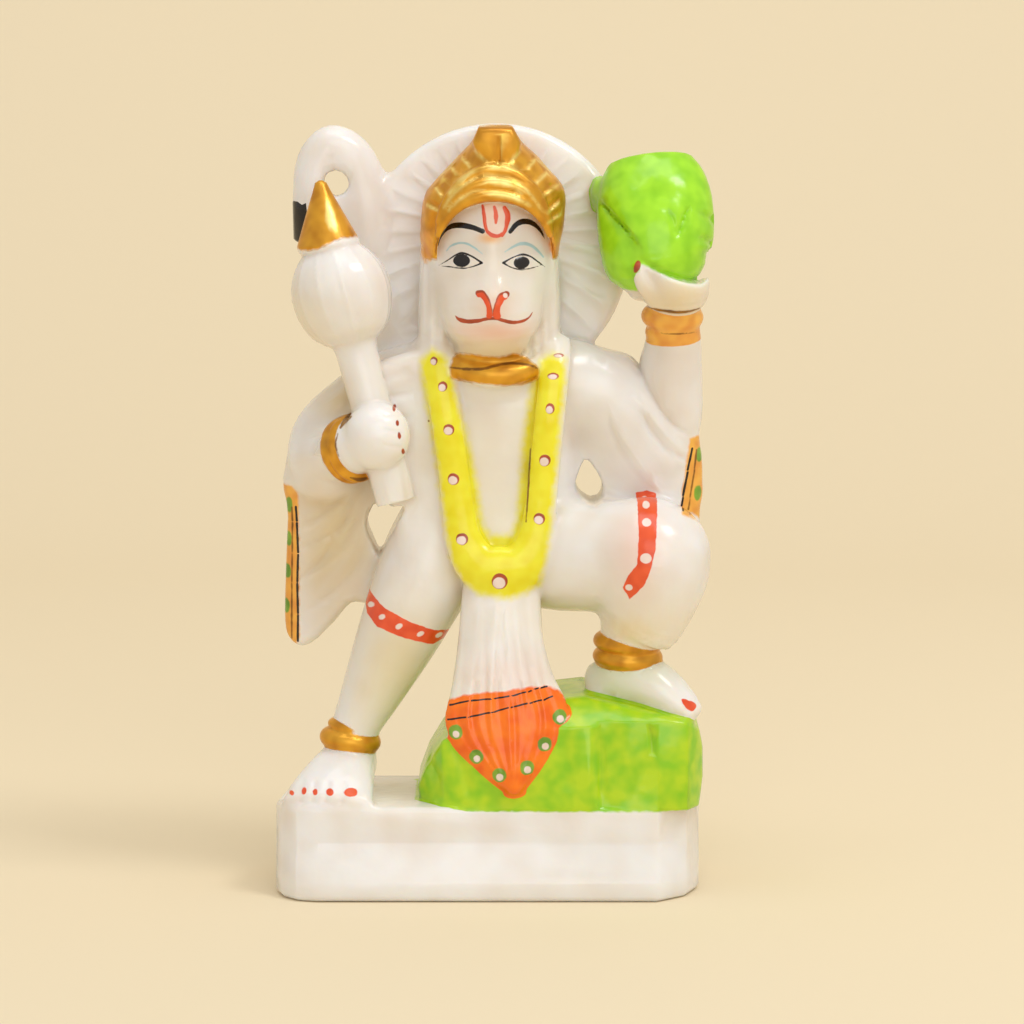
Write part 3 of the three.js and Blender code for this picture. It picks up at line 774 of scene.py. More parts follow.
@dataclass(eq=False)
class Head:
    """The head: a long face with a full muzzle and a flat nose, and hair that falls beside it."""

    face: Limb = Limb((
        (0.9, -1.5, 119, 10.9, 9.6), (0.6, -2.4, 108, 12.3, 10.4), (0.5, -3.2, 100.5, 11.3, 10.4),
        (0.7, -3.8, 95.4, 9.2, 9.2), (1.0, -3.6, 91.8, 6.6, 6.8),
    ), end_round=0.5)
    muzzle: Egg = Egg((MIDDLE_X, -8.6, 96.6), (8.6, 7.2, 6.5))
    nose: Limb = Limb((
        (1.0, -11.2, 110, 1.6, 1.6), (1.0, -12.2, 105, 1.9, 1.7), (1.1, -13.4, 101.4, 2.7, 2.3),
        (1.1, -13.6, 99.6, 2.4, 2.1),
    ))
    nape: Egg = Egg((0.6, 5, 102), (13.6, 9.8, 17))
    throat: Limb = Limb((
        (1.0, -2.6, 97, 7.6, 7.4), (1.1, -1.8, 90, 8, 7.4), (1.2, -1, 84, 9.2, 8),
    ))
    hair_middle: float = 0.3
    strand: float = 1.9

    def __post_init__(self) -> None:
        """Makes the hair on both sides."""
        lock = (
            (11.0, 0.5, 112, 2.6, 5), (11.2, 0.5, 104, 2.9, 5.6), (10.8, 0.5, 96, 3.6, 5.8),
            (9.6, 1, 88, 4.8, 6),
        )
        self.hair = [
            Limb([(self.hair_middle + side * x, *rest) for x, *rest in lock]) for side in (-1, 1)
        ]

    def carve(self, block: Block) -> None:
        """Cuts the head, then the eye hollows, the cheeks and the strands of hair."""
        block.join(self.nape, 2)
        for lock in self.hair:
            block.join(lock, 1.6)
        block.join(self.throat, 2)
        block.join(self.face, 2.4)
        block.join(self.muzzle, 4.4)
        block.join(self.nose, 2.6)

        def hollows(x: Array, y: Array, z: Array) -> Array:
            """Eye hollows sunk a little, with the eyeballs and cheeks raised."""
            total = 0 * (x + z)
            for side, eye_x in ((-1, -5.0), (1, 6.8)):
                socket = ((x - eye_x) / 5.6) ** 2 + ((z - 109.2) / 2.8) ** 2
                ball = ((x - eye_x) / 4.0) ** 2 + ((z - 107.2) / 1.9) ** 2
                cheek = ((x - eye_x - side) / 4.6) ** 2 + ((z - 101.8) / 3.4) ** 2
                total = total + 0.6 * np.exp(-socket) - 0.5 * np.exp(-ball) - 0.35 * np.exp(-cheek)
            return total * np.ones_like(y)

        def strands(x: Array, y: Array, z: Array) -> Array:
            """Depth of the furrows between strands of hair."""
            out = np.abs(x - self.hair_middle)
            band = ease(10.4, 11.8, out + ease(97, 89, z) * 5) * (1 - ease(15.5, 17, out))
            tall = ease(86, 90, z) * (1 - ease(107, 111, z))
            furrow = 0.5 + 0.5 * np.cos(out * 2 * math.pi / self.strand + 0.04 * z)
            return 0.3 * furrow * band * tall * (y < 6)

        block.press((-13, -22, 86), (16, -2, 122), hollows)
        block.press((-19, -8, 85), (21, 8, 112), strands)


@dataclass(eq=False)
class Crown:
    """The tall crown: a shell open over the forehead, three rolls, a fan of cusps and a bud."""

    middle: float = 1.4
    levels: tuple[tuple[float, float, float, float], ...] = (
        (106.4, 12.4, -11.6, 0.6), (112, 13.9, -13.8, 0.8), (116, 14.2, -14.4, 1.1), (120, 13.9, -14.2, 1.5),
        (122.5, 12.5, -13.6, 1.9), (125, 10.2, -12.6, 1.9), (127.7, 7.7, -11.2, 2), (130.3, 5, -9.4, 1.8),
        (133.2, 3.3, -7, 1.6),
    )
    top: float = 133.5
    back: float = 9.6
    fullness: float = 2.4  # 2 is an ellipse seen from above; more is fuller at the corners
    opening_half: float = 11.6
    opening: Flat = (108.6, 10.7)
    arcs: tuple[Flat, ...] = ((109.7, 11.8), (110.4, 13.6), (111.0, 15.5))
    roll_ends: float = 0.3
    cusps: tuple[tuple[Flat, Flat], ...] = (
        ((0.1, 126.4), (-2.5, 129.1)), ((-3.1, 125.7), (-5.4, 127.8)), ((-5.7, 124.0), (-7.6, 126.2)),
        ((-7.5, 122.8), (-9.7, 124.1)), ((-8.9, 120.1), (-10.8, 122.8)), ((-9.8, 117.3), (-12.6, 118.6)),
        ((4.4, 126.4), (6.4, 129.0)), ((7.7, 125.1), (9.5, 127.4)), ((9.2, 122.5), (12.5, 125.2)),
        ((10.8, 120.1), (14.4, 122.6)), ((11.8, 116.9), (15.4, 119.8)), ((11.9, 114.9), (15.4, 117)),
    )

    def __post_init__(self) -> None:
        """Makes the rolls and the bud, and works out the box."""
        self.table = smooth_line(self.levels, 4)
        edges = (self.opening, *self.arcs)
        self.rolls = []
        for (low_z, low_rise), (high_z, high_rise) in zip(edges, edges[1:]):
            stations = []
            for turn in np.linspace(self.roll_ends, math.pi - self.roll_ends, 11):
                x = self.middle + self.opening_half * 0.985 * math.cos(turn)
                low = low_z + low_rise * math.sin(turn)
                high = high_z + high_rise * math.sin(turn)
                thick = max((high - low) / 2, 0.5)
                z = (low + high) / 2
                stations.append((x, self.front_at(x, z) + 0.05, z, thick * 1.02, thick))
            self.rolls.append(Limb(stations, facing=(0, 1, 0.35), steps=3))
        self.bud = Slab((
            (-1.7, 133.5), (-2.9, 130.6), (-2.4, 129), (-1.2, 127.6), (0.2, 126.5), (2.2, 126.2),
            (4.4, 126.5),
            (5.5, 127.6), (6.2, 128.8), (6.6, 130.5), (5.0, 133.5),
        ), -11.9, -2, 1.6, rounded=False)
        self.low = np.array([-13.4, -15, 104.0])
        self.high = np.array([16.0, self.back, 134.0])

    def level(self, z: Array) -> list[Array]:
        """The shell's half width, front and middle at a height."""
        return [np.interp(z, self.table[:, 0], self.table[:, k]) for k in (1, 2, 3)]

    def front_at(self, x: float, z: float) -> float:
        """How far forward the plain shell comes at a place seen from the front."""
        half, front, middle = self.level(z)
        share = min(abs(x - middle) / half, 0.98)
        bulge = (1 - share**self.fullness) ** (1 / self.fullness)
        return (self.back + front) / 2 - (self.back - front) / 2 * bulge

    def shell(self, x: Array, y: Array, z: Array) -> Array:
        """Distances to the plain shell, negative inside."""
        half, front, middle = self.level(z)
        deep = (self.back - front) / 2
        across, along = np.abs((x - middle) / half), np.abs((y - self.back + deep) / deep)
        reach = (across**self.fullness + along**self.fullness) ** (1 / self.fullness)
        around = (reach - 1) * np.minimum(half, deep)
        return np.maximum(around, np.maximum(z - self.top, 106.0 - z) * 0.9)

    def arch(self, x: Array, z: Array, base: float, rise: float) -> Array:
        """How far out a place lies from an arch over the forehead, as a share of the arch's size."""
        return np.hypot((x - self.middle) / self.opening_half, np.maximum(z - base, 0) / rise)

    def distance(self, x: Array, y: Array, z: Array) -> Array:
        """Distances from points to the surface, negative inside."""
        hole = np.maximum((self.arch(x, z, *self.opening) - 1) * self.opening_half, y + 4)
        return np.maximum(self.shell(x, y, z), -hole)

    def cusp(self, inner: Flat, outer: Flat) -> Callable[[Array, Array, Array], Array]:
        """The lip and the cut beside it that part two petals of the fan."""
        along = np.subtract(outer, inner)
        length = float(np.hypot(*along))
        along = along / length
        across = np.array([-along[1], along[0]]) * (1 if outer[0] > 3 else -1)

        def depth(x: Array, y: Array, z: Array) -> Array:
            """How far the surface is cut back, or raised where negative."""
            u, w = x - inner[0], z - inner[1]
            run = u * along[0] + w * along[1]
            off = u * across[0] + w * across[1]
            part = ease(-0.4, 0.4, run) * (1 - ease(length - 0.2, length + 0.6, run))
            half, _, middle = self.level(z)
            edge = 1 - ease(0.84, 0.96, np.abs(x - middle) / half)
            lip = 0.3 * np.exp(-(((off + 0.1) / 0.45) ** 2))
            return (0.5 * np.exp(-(((off - 0.55) / 0.4) ** 2)) - lip) * part * edge * np.ones_like(y)

        return depth

    def carve(self, block: Block) -> None:
        """Cuts the shell, the fan, the rolls and the bud."""
        block.join(self, 0.8)
        for inner, outer in self.cusps:
            low, high = np.minimum(inner, outer) - 1.6, np.maximum(inner, outer) + 1.6
            block.press((low[0], -18, low[1]), (high[0], 7, high[1]), self.cusp(inner, outer))
        for roll in self.rolls:
            block.join(roll, 0.3)
        block.join(self.bud, 0.5)
        block.crease(((2.2, 125.6), (2.3, 128.5), (2.4, 131.6)), (0, -18, 122), (5, -2, 134), 0.3, 0.7)


@dataclass(eq=False)
class Halo:
    """The round halo behind the head, with faint rays across its face."""

    centre: Flat = (1.6, 107.6)
    half: Flat = (26.6, 26.0)
    front: float = 8.0
    back: float = 16.5
    edge: float = 1.8
    rays_from: Flat = (1.4, 112.5)
    rays: int = 32
    rim: float = 0.86  # the rays fade away beyond this share of the halo
    lean: float = 0.07  # how far the front leans back for each millimetre up

    def __post_init__(self) -> None:
        """Works out its box."""
        self.low = np.array([self.centre[0] - self.half[0], self.front - 2, self.centre[1] - self.half[1]])
        self.high = np.array([self.centre[0] + self.half[0], self.back, self.centre[1] + self.half[1]])

    def distance(self, x: Array, y: Array, z: Array) -> Array:
        """Distances from points to the surface, negative inside."""
        u, w = (x - self.centre[0]) / self.half[0], (z - self.centre[1]) / self.half[1]
        sideways = (np.hypot(u, w) - 1) * self.half[1] + self.edge
        front = self.front + self.lean * (z - self.centre[1])
        deep = np.abs(y - (front + self.back) / 2) - (self.back - front) / 2 + self.edge
        return round_edge(sideways, deep, self.edge)

    def carve(self, block: Block) -> None:
        """Cuts the disc and its rays."""
        block.join(self, 1.6)

        def rays(x: Array, y: Array, z: Array) -> Array:
            """Faint ridges that run outwards."""
            u, w = x - self.rays_from[0], z - self.rays_from[1]
            reach = np.hypot(u, w)
            turn = np.arctan2(w, u) * self.rays / (2 * math.pi)
            off = np.abs(turn - np.round(turn)) * reach * 2 * math.pi / self.rays
            out = np.hypot((x - self.centre[0]) / self.half[0], (z - self.centre[1]) / self.half[1])
            fade = ease(12, 15, reach) * (1 - ease(self.rim, self.rim + 0.08, out))
            return -0.34 * np.exp(-((off / 0.45) ** 2)) * fade * (y < 12)

        block.press((-27, 4, 80), (30, 12.5, 136), rays)


@dataclass(eq=False)
class Tail(Part):
    """The tail: it climbs behind the back, loops over beside the halo and ends in a blunt tip."""

    fillets: ClassVar = {"climb": 2, "loop": 3, "web": 2.4}
    climb: Limb = Limb((
        (2, 10, 44, 4, 4), (-4, 12.4, 56, 4.2, 4), (-13, 12.6, 74, 4.2, 4), (-20.4, 12.2, 93, 4.4, 4.2),
        (-23.4, 12, 108, 4.6, 4.4), (-24.2, 12, 118, 4.2, 4.4),
    ))
    loop: Limb = Limb((
        (-23.8, 12, 112, 4.4, 4.4), (-24.3, 12, 120.6, 4.2, 4.4), (-26.9, 12, 126.8, 4.1, 4.4),
        (-31.2, 12, 129.3, 4, 4.4), (-34.5, 12, 125.8, 3.9, 4.3), (-35.4, 12, 119, 3.8, 4.2),
        (-35.6, 12, 110.6, 3.5, 3.9),
    ), end_round=0.35)
    web: Slab = Slab((
        (-36, 108), (-36, 122), (-33.6, 126), (-29.6, 127), (-26, 124.6), (-24, 120), (-24, 108),
    ), 8, 15.6, 1.0, rounded=False)
    hole: Slab = Slab((
        (-30.4, 124.4), (-28.6, 123.6), (-27.8, 121.8), (-28.6, 120.0), (-30.4, 119.2), (-32.2, 120.0),
        (-33, 121.8), (-32.2, 123.6),
    ), -30, 30, 0.0)

    def carve(self, block: Block) -> None:
        """Cuts the tail and the web left in its loop, with a round hole."""
        super().carve(block)
        block.cut(self.hole, 0.8)


@dataclass(eq=False)
class Mace(Part):
    """The mace: a lobed ball on a shaft, with a cone above it."""

    fillets: ClassVar = {"body": 0.8, "cone": 0.5}
    body: Turned = Turned(
        (-28.5, -6, 99.9), (-34.4, -4.6, 122.7),
        (
            (3.9, -41.6, 0), (4.0, -30, 0), (4.1, -18, 0), (4.2, -10.2, 0), (5.6, -8.4, -0.1),
            (7.7, -6.4, -0.14), (9.1, -3.2, -0.18), (9.7, 0.4, -0.18), (9.3, 4.0, -0.18), (7.8, 7.2, -0.14),
            (5.7, 9.7, -0.1), (5.6, 10.1, 0),
        ),
        lobes=12,
        first_furrow=0.14,
    )
    cone: Turned = Turned(
        (-31.2, -5.4, 109.6), (-32.9, -4.9, 123),
        (
            (0.6, -0.9, 0), (5.3, -0.6, 0), (6.15, 0.4, 0), (6.1, 1.2, 0), (5.2, 3.4, 0), (3.5, 7.4, 0),
            (2.0, 10.8, 0), (1.3, 12.7, 0), (0.8, 13.3, 0), (0.3, 13.5, 0),
        ),
        lobes=0,
    )


@dataclass(eq=False)
class MaceArm(Part):
    """The lowered arm: a draped upper arm, a forearm that comes forward and a fist round the mace."""

    fillets: ClassVar = {"sleeve": 3, "web": 3, "forearm": 2, "wrist_band": 0.5, "fist": 0.7}
    sleeve: Limb = Limb((
        (-10, 4, 84, 7, 7.4), (-19, 5.4, 81.4, 7.4, 7.4), (-26.4, 5, 76.4, 7.5, 8),
        (-32, 4, 70.5, 7.6, 8), (-32.6, 4, 63, 7.2, 7.4),
    ))
    forearm: Limb = Limb((
        (-34, 2, 68, 5.4, 6), (-31, -2, 69, 6, 6), (-26.6, -6.6, 70.6, 5.8, 5.8), (-23, -9.4, 72, 5.4, 5.4),
    ), facing=(1, 1, 0))
    wrist_band: Bangle = Bangle((-28.1, -4.6, 69.5), (-24.3, -8.6, 70.7), 6.8, 3.6)
    fist: Egg = Egg((-21.7, -10.6, 73), (6.5, 5.8, 6.8))

    web: Slab = Slab((
        (-23, 86), (-8, 88), (-7, 66), (-9, 46), (-15, 46), (-20, 60), (-26, 72),
    ), -7.4, 4, 2.6)

    def carve(self, block: Block) -> None:
        """Cuts the arm, the web to the body, the band and the fist with the lines of its fingers."""
        super().carve(block)
        for lift in (4.4, 1.6, -1.4):
            line = ((-22.5, 73.6 + lift), (-19, 73 + lift), (-16.4, 72.4 + lift))
            block.crease(line, (-26, -20, 64), (-14, -8, 82), 0.35, 0.16)


@dataclass(eq=False)
class Shawl(Part):
    """The shawl: an end that hangs behind the lowered elbow, and a fall under the raised arm."""

    fillets: ClassVar = {"hanging": 2, "raised": 2}
    hanging: Slab = Slab((
        (-39.6, 66), (-40.2, 55), (-40.7, 44), (-40.9, 34), (-39.9, 30.4), (-37.5, 28.9), (-34.6, 30.2),
        (-31, 33.8), (-27.6, 37.6), (-24, 38), (-18, 42), (-15, 50), (-12, 60), (-12, 84), (-24, 80),
    ), 3, 14, 2.2)
    hip_gap: Slab = Slab((
        (-23.3, 57.2), (-22.4, 58), (-20, 58.1), (-17.2, 58.7), (-16.5, 57.9), (-18.1, 55), (-20, 51.4),
        (-21.8, 47.8), (-23.4, 50.6), (-24.4, 53.8),
    ), -30, 30, 0.0)
    raised: Slab = Slab((
        (12, 87), (24, 88), (29, 87), (32.4, 81.2), (36, 75.6), (41.2, 71.4), (42.3, 66), (42.2, 58),
        (40, 46), (12, 50),
    ), -0.6, 12, 2.4)
    armpit: Slab = Slab((
        (19.5, 67.3), (21.6, 65.1), (22.9, 62.1), (22.6, 59.7), (21.1, 58.6), (18.8, 59.7), (17.5, 62.1),
        (18.2, 64.9),
    ), -30, 30, 0.0)

    # Folds as lines of x and height, with a depth; a negative depth is a ridge.
    hanging_folds: tuple[tuple[tuple[Flat, ...], float], ...] = (
        (((-27.9, 60.6), (-31, 57.2), (-36.7, 53.4)), 0.35), (((-26.2, 59.6), (-30, 52.9),
          (-37.2, 49.1)), 0.4),
        (((-27.2, 56.8), (-32.4, 48.2), (-37.7, 42.4)), 0.4), (((-25.3, 56.8), (-28.2, 51),
          (-34.8, 44.8)), 0.4),
        (((-24.6, 50), (-27.6, 43.6), (-36.6, 36)), 0.3),
    )
    shoulder_folds: tuple[tuple[tuple[Flat, ...], float], ...] = (
        (((-14, 87), (-23, 83), (-31, 76)), 0.3), (((-14, 81.6), (-24, 78.6), (-32, 70)), 0.3),
        (((-15, 76.6), (-24, 73.8), (-31, 66.6)), 0.25),
    )
    raised_folds: tuple[tuple[tuple[Flat, ...], float], ...] = (
        (((28, 82.9), (29.6, 79.4), (31.6, 76.8), (35.2, 72.2), (39.3, 69.1)), -0.35),
        (((24.5, 77.8), (26, 73.7), (28.1, 70.2), (32.2, 64), (34.7, 60.9)), -0.35),
        (((30.1, 77.8), (32.6, 73.2), (35.7, 69.7), (39.8, 67.1)), 0.35),
        (((24, 76.8), (25.3, 72.2), (28.1, 67.1), (31.1, 63)), 0.35),
        (((20.6, 90.4), (26.9, 89.3), (29.3, 87.3), (31.3, 83.4), (34.1, 77.9), (36.9, 74.6),
          (40, 72.4)), 0.6),
        (((19.4, 89.2), (25.6, 87.4), (27.6, 86), (29.6, 82.6), (32.4, 77), (35.2, 73.2),
          (38.4, 70.6)), -0.3),
    )

    def fold(self, block: Block) -> None:
        """Cuts the folds and the holes, after the arms and legs are there."""
        for line, depth in self.hanging_folds:
            block.crease(line, (-42, -4, 28), (-12, 12, 68), 0.8, depth)
        for line, depth in self.shoulder_folds:
            block.crease(line, (-42, -8, 62), (-8, 8, 92), 0.8, depth)
        for line, depth in self.raised_folds:
            block.crease(line, (12, -12, 52), (43, 6, 92), 0.6, depth)
        block.cut(self.hip_gap, 0.8)
        block.cut(self.armpit, 0.8)


@dataclass(eq=False)
class Palm:
    """The cupped palm, cut off along its rim."""

    limb: Limb
    rim: tuple[Flat, ...] = (
        (28, 107), (30.6, 106.6), (33.1, 105.3), (36.9, 103.8), (39.4, 103.1), (41.9, 102.8), (45, 104.6),
    )

    def __post_init__(self) -> None:
        """Works out its box."""
        self.low = self.limb.low
        self.high = np.minimum(self.limb.high, (99, 99, max(z for _, z in self.rim) + 0.5))

    def distance(self, x: Array, y: Array, z: Array) -> Array:
        """Distances from points to the surface, negative inside."""
        rim = np.interp(x, [x for x, _ in self.rim], [z for _, z in self.rim])
        return -blend_min(-self.limb.distance(x, y, z), (rim - z) * 0.95 + 0 * y, 0.8)


@dataclass(eq=False)
class RaisedArm(Part):
    """The raised arm: a draped upper arm, an upright forearm, a bracelet and a cupped hand."""

    fillets: ClassVar = {"sleeve": 4, "forearm": 1.2, "palm": 1.4, "thumb": 1.6, "bracelet": 0.5}
    sleeve: Limb = Limb((
        (12, 3.4, 83, 8, 7.2), (21, 2.4, 80.4, 8.4, 7.6), (28.4, 2.6, 74, 8.6, 6.8),
        (33.8, 3.2, 67, 7.6, 6.2), (36.6, 4, 60, 5.2, 5.4),
    ))
    forearm: Limb = Limb((
        (35.2, 3, 68, 6, 6.4), (35.8, 2.4, 76, 7, 6.8), (36.2, 1.6, 84, 6.6, 6.4),
        (36.9, 0.6, 90.4, 5.6, 5.6),
        (36.8, -0.6, 96, 4.9, 5),
    ))
    palm: Palm = Palm(Limb((
        (36.9, -0.8, 95, 4.4, 4.8), (37, -1.4, 98.2, 5.4, 6.2), (37.1, -2, 100.6, 6.7, 8),
        (36.9, -2.2, 104, 6.9, 9),
        (36.6, -2.2, 107.4, 6.6, 9),
    )))
    thumb: Limb = Limb((
        (33, -7, 99.6, 1.8, 1.8), (30.6, -9, 103, 1.7, 1.7), (29.4, -9.6, 106.4, 1.3, 1.4),
    ))
    bracelet: Bangle = Bangle((36.5, 0.4, 91.5), (36.7, -0.9, 97.9), 6.2, 6.5, 0.36)


@dataclass(eq=False)
class Hill(Part):
    """The hill on the raised hand, a rounded block with chisel cuts."""

    fillets: ClassVar = {"body": 0.7, "bridge": 1.2}
    body: Limb = Limb((
        (34.7, -1, 101.8, 6.9, 7.6), (34.1, -0.9, 104.6, 9.3, 9.4), (33.3, -0.7, 108, 10.8, 10.2),
        (33.3, 0.4, 113, 11.6, 10), (33.1, 1.8, 118.8, 11.4, 8.6),
        (32.6, 3.2, 123.4, 10.2, 6.8), (32.3, 4, 126, 8.6, 5.6),
    ), start_round=0.4, end_round=0.27)
    bridge: Egg = Egg((22.4, 6.8, 119.6), (2.0, 4.2, 3.8))

    def carve(self, block: Block) -> None:
        """Cuts the hill, its bridge to the halo and the strokes of the chisel."""
        super().carve(block)
        low, high = (20, -16, 98), (47, 0, 130)
        for line, width, depth in (
            (((23.2, 117.7), (26.4, 114.3), (29.6, 110.7)), 0.35, 0.8),
            (((30.6, 107.2), (33.1, 105.9), (36.9, 104.4), (39.4, 103.7), (41.9, 103.4),
              (43.6, 104.9)), 0.4, 0.7),
            (((39.4, 117.8), (38.2, 114.6), (37.2, 112.2)), 0.4, 0.9),
            (((35.6, 117.4), (36.4, 114.6), (37, 112.2)), 0.4, 0.6),
            (((41.8, 116.6), (43.4, 115.6), (45.8, 114.2)), 0.6, 0.7),
            (((41.6, 112), (43.2, 111), (45.6, 109.2)), 0.6, 0.7),
            (((29, 126.5), (31, 121), (37, 119.4)), 1.8, 0.3),
        ):
            block.crease(line, low, high, width, depth)
        cut = np.array([[21.4, 119.8], [26.4, 114.3], [31.6, 108.5]])

        def facet(x: Array, y: Array, z: Array) -> Array:
            """Depth of the flat below the long cut, which is set back and fades away from it."""
            gap, _ = line_distance(cut, x + 0 * z, z + 0 * x)
            below = z < np.interp(x, cut[:, 0], cut[:, 1])
            ends = ease(21.4, 24, x) * (1 - ease(27.6, 31, x))
            return 1.1 * np.exp(-((gap / 4.0) ** 2)) * below * ends * np.ones_like(y)

        block.press(low, high, facet)


# Marks of the brush, seen from the front


@dataclass(frozen=True)
class Stroke:
    """A brush stroke along a smooth line, with x, height and half width at each point."""

    line: tuple[Place, ...]

    def box(self) -> tuple[Array, Array]:
        """The lowest and highest x and height that it reaches."""
        rows = np.array(self.line)
        half = rows[:, 2:]
        return (rows[:, :2] - half).min(axis=0), (rows[:, :2] + half).max(axis=0)

    def edge(self, x: Array, z: Array) -> Array:
        """Distances to its edge, negative inside."""
        rows = smooth_line(self.line, 5)
        gap, along = line_distance(rows[:, :2], x, z)
        return gap - np.interp(along, np.linspace(0, 1, len(rows)), rows[:, 2])


@dataclass(frozen=True)
class Spot:
    """A round or oval dab, with its middle, its half sizes and a lean in degrees."""

    middle: Flat
    half: Flat
    lean: float = 0.0

    def box(self) -> tuple[Array, Array]:
        """The lowest and highest x and height that it reaches."""
        reach = max(self.half)
        return np.subtract(self.middle, reach), np.add(self.middle, reach)

    def edge(self, x: Array, z: Array) -> Array:
        """Distances to its edge, negative inside."""
        c, s = math.cos(math.radians(self.lean)), math.sin(math.radians(self.lean))
        u, v = x - self.middle[0], z - self.middle[1]
        return (np.hypot((u * c - v * s) / self.half[0], (u * s + v * c) / self.half[1]) - 1) * min(self.half)


@dataclass(frozen=True)
class Patch:
    """A filled area with a rounded outline."""

    outline: tuple[Flat, ...]
    rounded: bool = True

    def box(self) -> tuple[Array, Array]:
        """The lowest and highest x and height that it reaches."""
        rows = np.array(self.outline)
        return rows.min(axis=0), rows.max(axis=0)

    def edge(self, x: Array, z: Array) -> Array:
        """Distances to its edge, negative inside."""
        ring = smooth_ring(self.outline) if self.rounded else np.asarray(self.outline, float)
        return outline_distance(ring, x, z)


Mark = Stroke | Spot | Patch


class Coat(Enum):
    """The paints, in the order that they are laid, named for their attributes on the mesh."""

    YELLOW = "yellow_edge"
    ROCK = "rock_edge"
    HILL = "hill_edge"
    GOLD = "gold_edge"
    # Pale gold that stands for highlights on the gilding: painted highlight, laid over the gold.
    GLINT = "glint_edge"
    SAND = "sand_edge"
    ORANGE = "orange_edge"
    PINK = "pink_edge"
    MAROON = "maroon_edge"
    VERMILION = "vermilion_edge"
    LEAF = "leaf_edge"
    PEARL = "pearl_edge"
    BLUE = "blue_edge"
    UMBER = "umber_edge"
    BLACK = "black_edge"


class Mist(Enum):
    """Colours sprayed or rubbed on thinly, some of them painted shade and painted reflections, named for
    their attributes on the mesh.
    """

    BLUSH = "blush_mist"
    # Yellow-orange overspray of paint, and painted warm shade and reflected floor light on lower and shaded
    # sides.
    HONEY = "honey_mist"
    # Green overspray of paint beside the hill, and painted reflection of the green rock on the legs.
    MOSS = "moss_mist"
    # Painted shade: darkens hollows and shaded sides.
    GRIME = "grime_mist"
    BODY = "paint_body"
    METAL = "metal_paint"


Spray = tuple[Mist, Place, Place, float]  # the colour, the cloud's middle, its half sizes and its strength


class Painting:
    """The paint on the surface's points: for each coat the distance to its edge, negative inside."""

    clear = 9.0
    margin = 2.5
    steep = 5.0  # a form's own skin is never deep inside it, so its distances are stretched

    def __init__(self, points: Array, facing: Array) -> None:
        """Starts with bare stone.

        Args:
            points: places on the surface.
            facing: the outward direction at each.
        """
        self.points = points
        self.facing = facing
        self.coats = {coat: np.full(len(points), self.clear, np.float32) for coat in Coat}
        self.mists = {mist: np.zeros(len(points), np.float32) for mist in Mist}

    def cover(self, coat: Coat, form: Form, spill: float = 0.25, within: Patch | None = None) -> None:
        """Paints a carved form.

        Args:
            coat: the paint.
            form: the form.
            spill: how far past the form's own surface the paint goes.
            within: an area, seen from the front, that it keeps to.
        """
        low, high = form.low - self.margin, form.high + self.margin
        near = np.flatnonzero(((self.points > low) & (self.points < high)).all(axis=1))
        x, y, z = self.points[near].T
        edge = (form.distance(x, y, z) - spill) * self.steep
        if within is not None:
            edge = np.maximum(edge, within.edge(x, z))
        self.coats[coat][near] = np.minimum(self.coats[coat][near], edge)

    def mark(
        self, coat: Coat, mark: Mark, front: float = -25.0, back: float = 6.0, side: float = 0.45
    ) -> None:
        """Paints a mark on what faces the viewer.

        Args:
            coat: the paint.
            mark: the mark.
            front: the nearest depth that it reaches.
            back: the farthest.
            side: how far round the surface may turn away, from -1 facing the viewer to 1.
        """
        low, high = mark.box()
        x, y, z = self.points.T
        reach = self.margin
        inside = (x > low[0] - reach) & (x < high[0] + reach) & (z > low[1] - reach) & (z < high[1] + reach)
        near = np.flatnonzero(inside & (y > front) & (y < back) & (self.facing[:, 1] < side))
        self.coats[coat][near] = np.minimum(self.coats[coat][near], mark.edge(x[near], z[near]))

    def spray(self, mist: Mist, middle: Place, half: Place, strength: float) -> None:
        """Sprays a soft cloud that fades away from its middle."""
        reach = (((self.points - middle) / half) ** 2).sum(axis=1)
        self.mists[mist] = np.maximum(self.mists[mist], strength * np.exp(-reach))

    def spray_all(self, sprays: Sequence[Spray]) -> None:
        """Sprays one cloud after another."""
        for spray in sprays:
            self.spray(*spray)


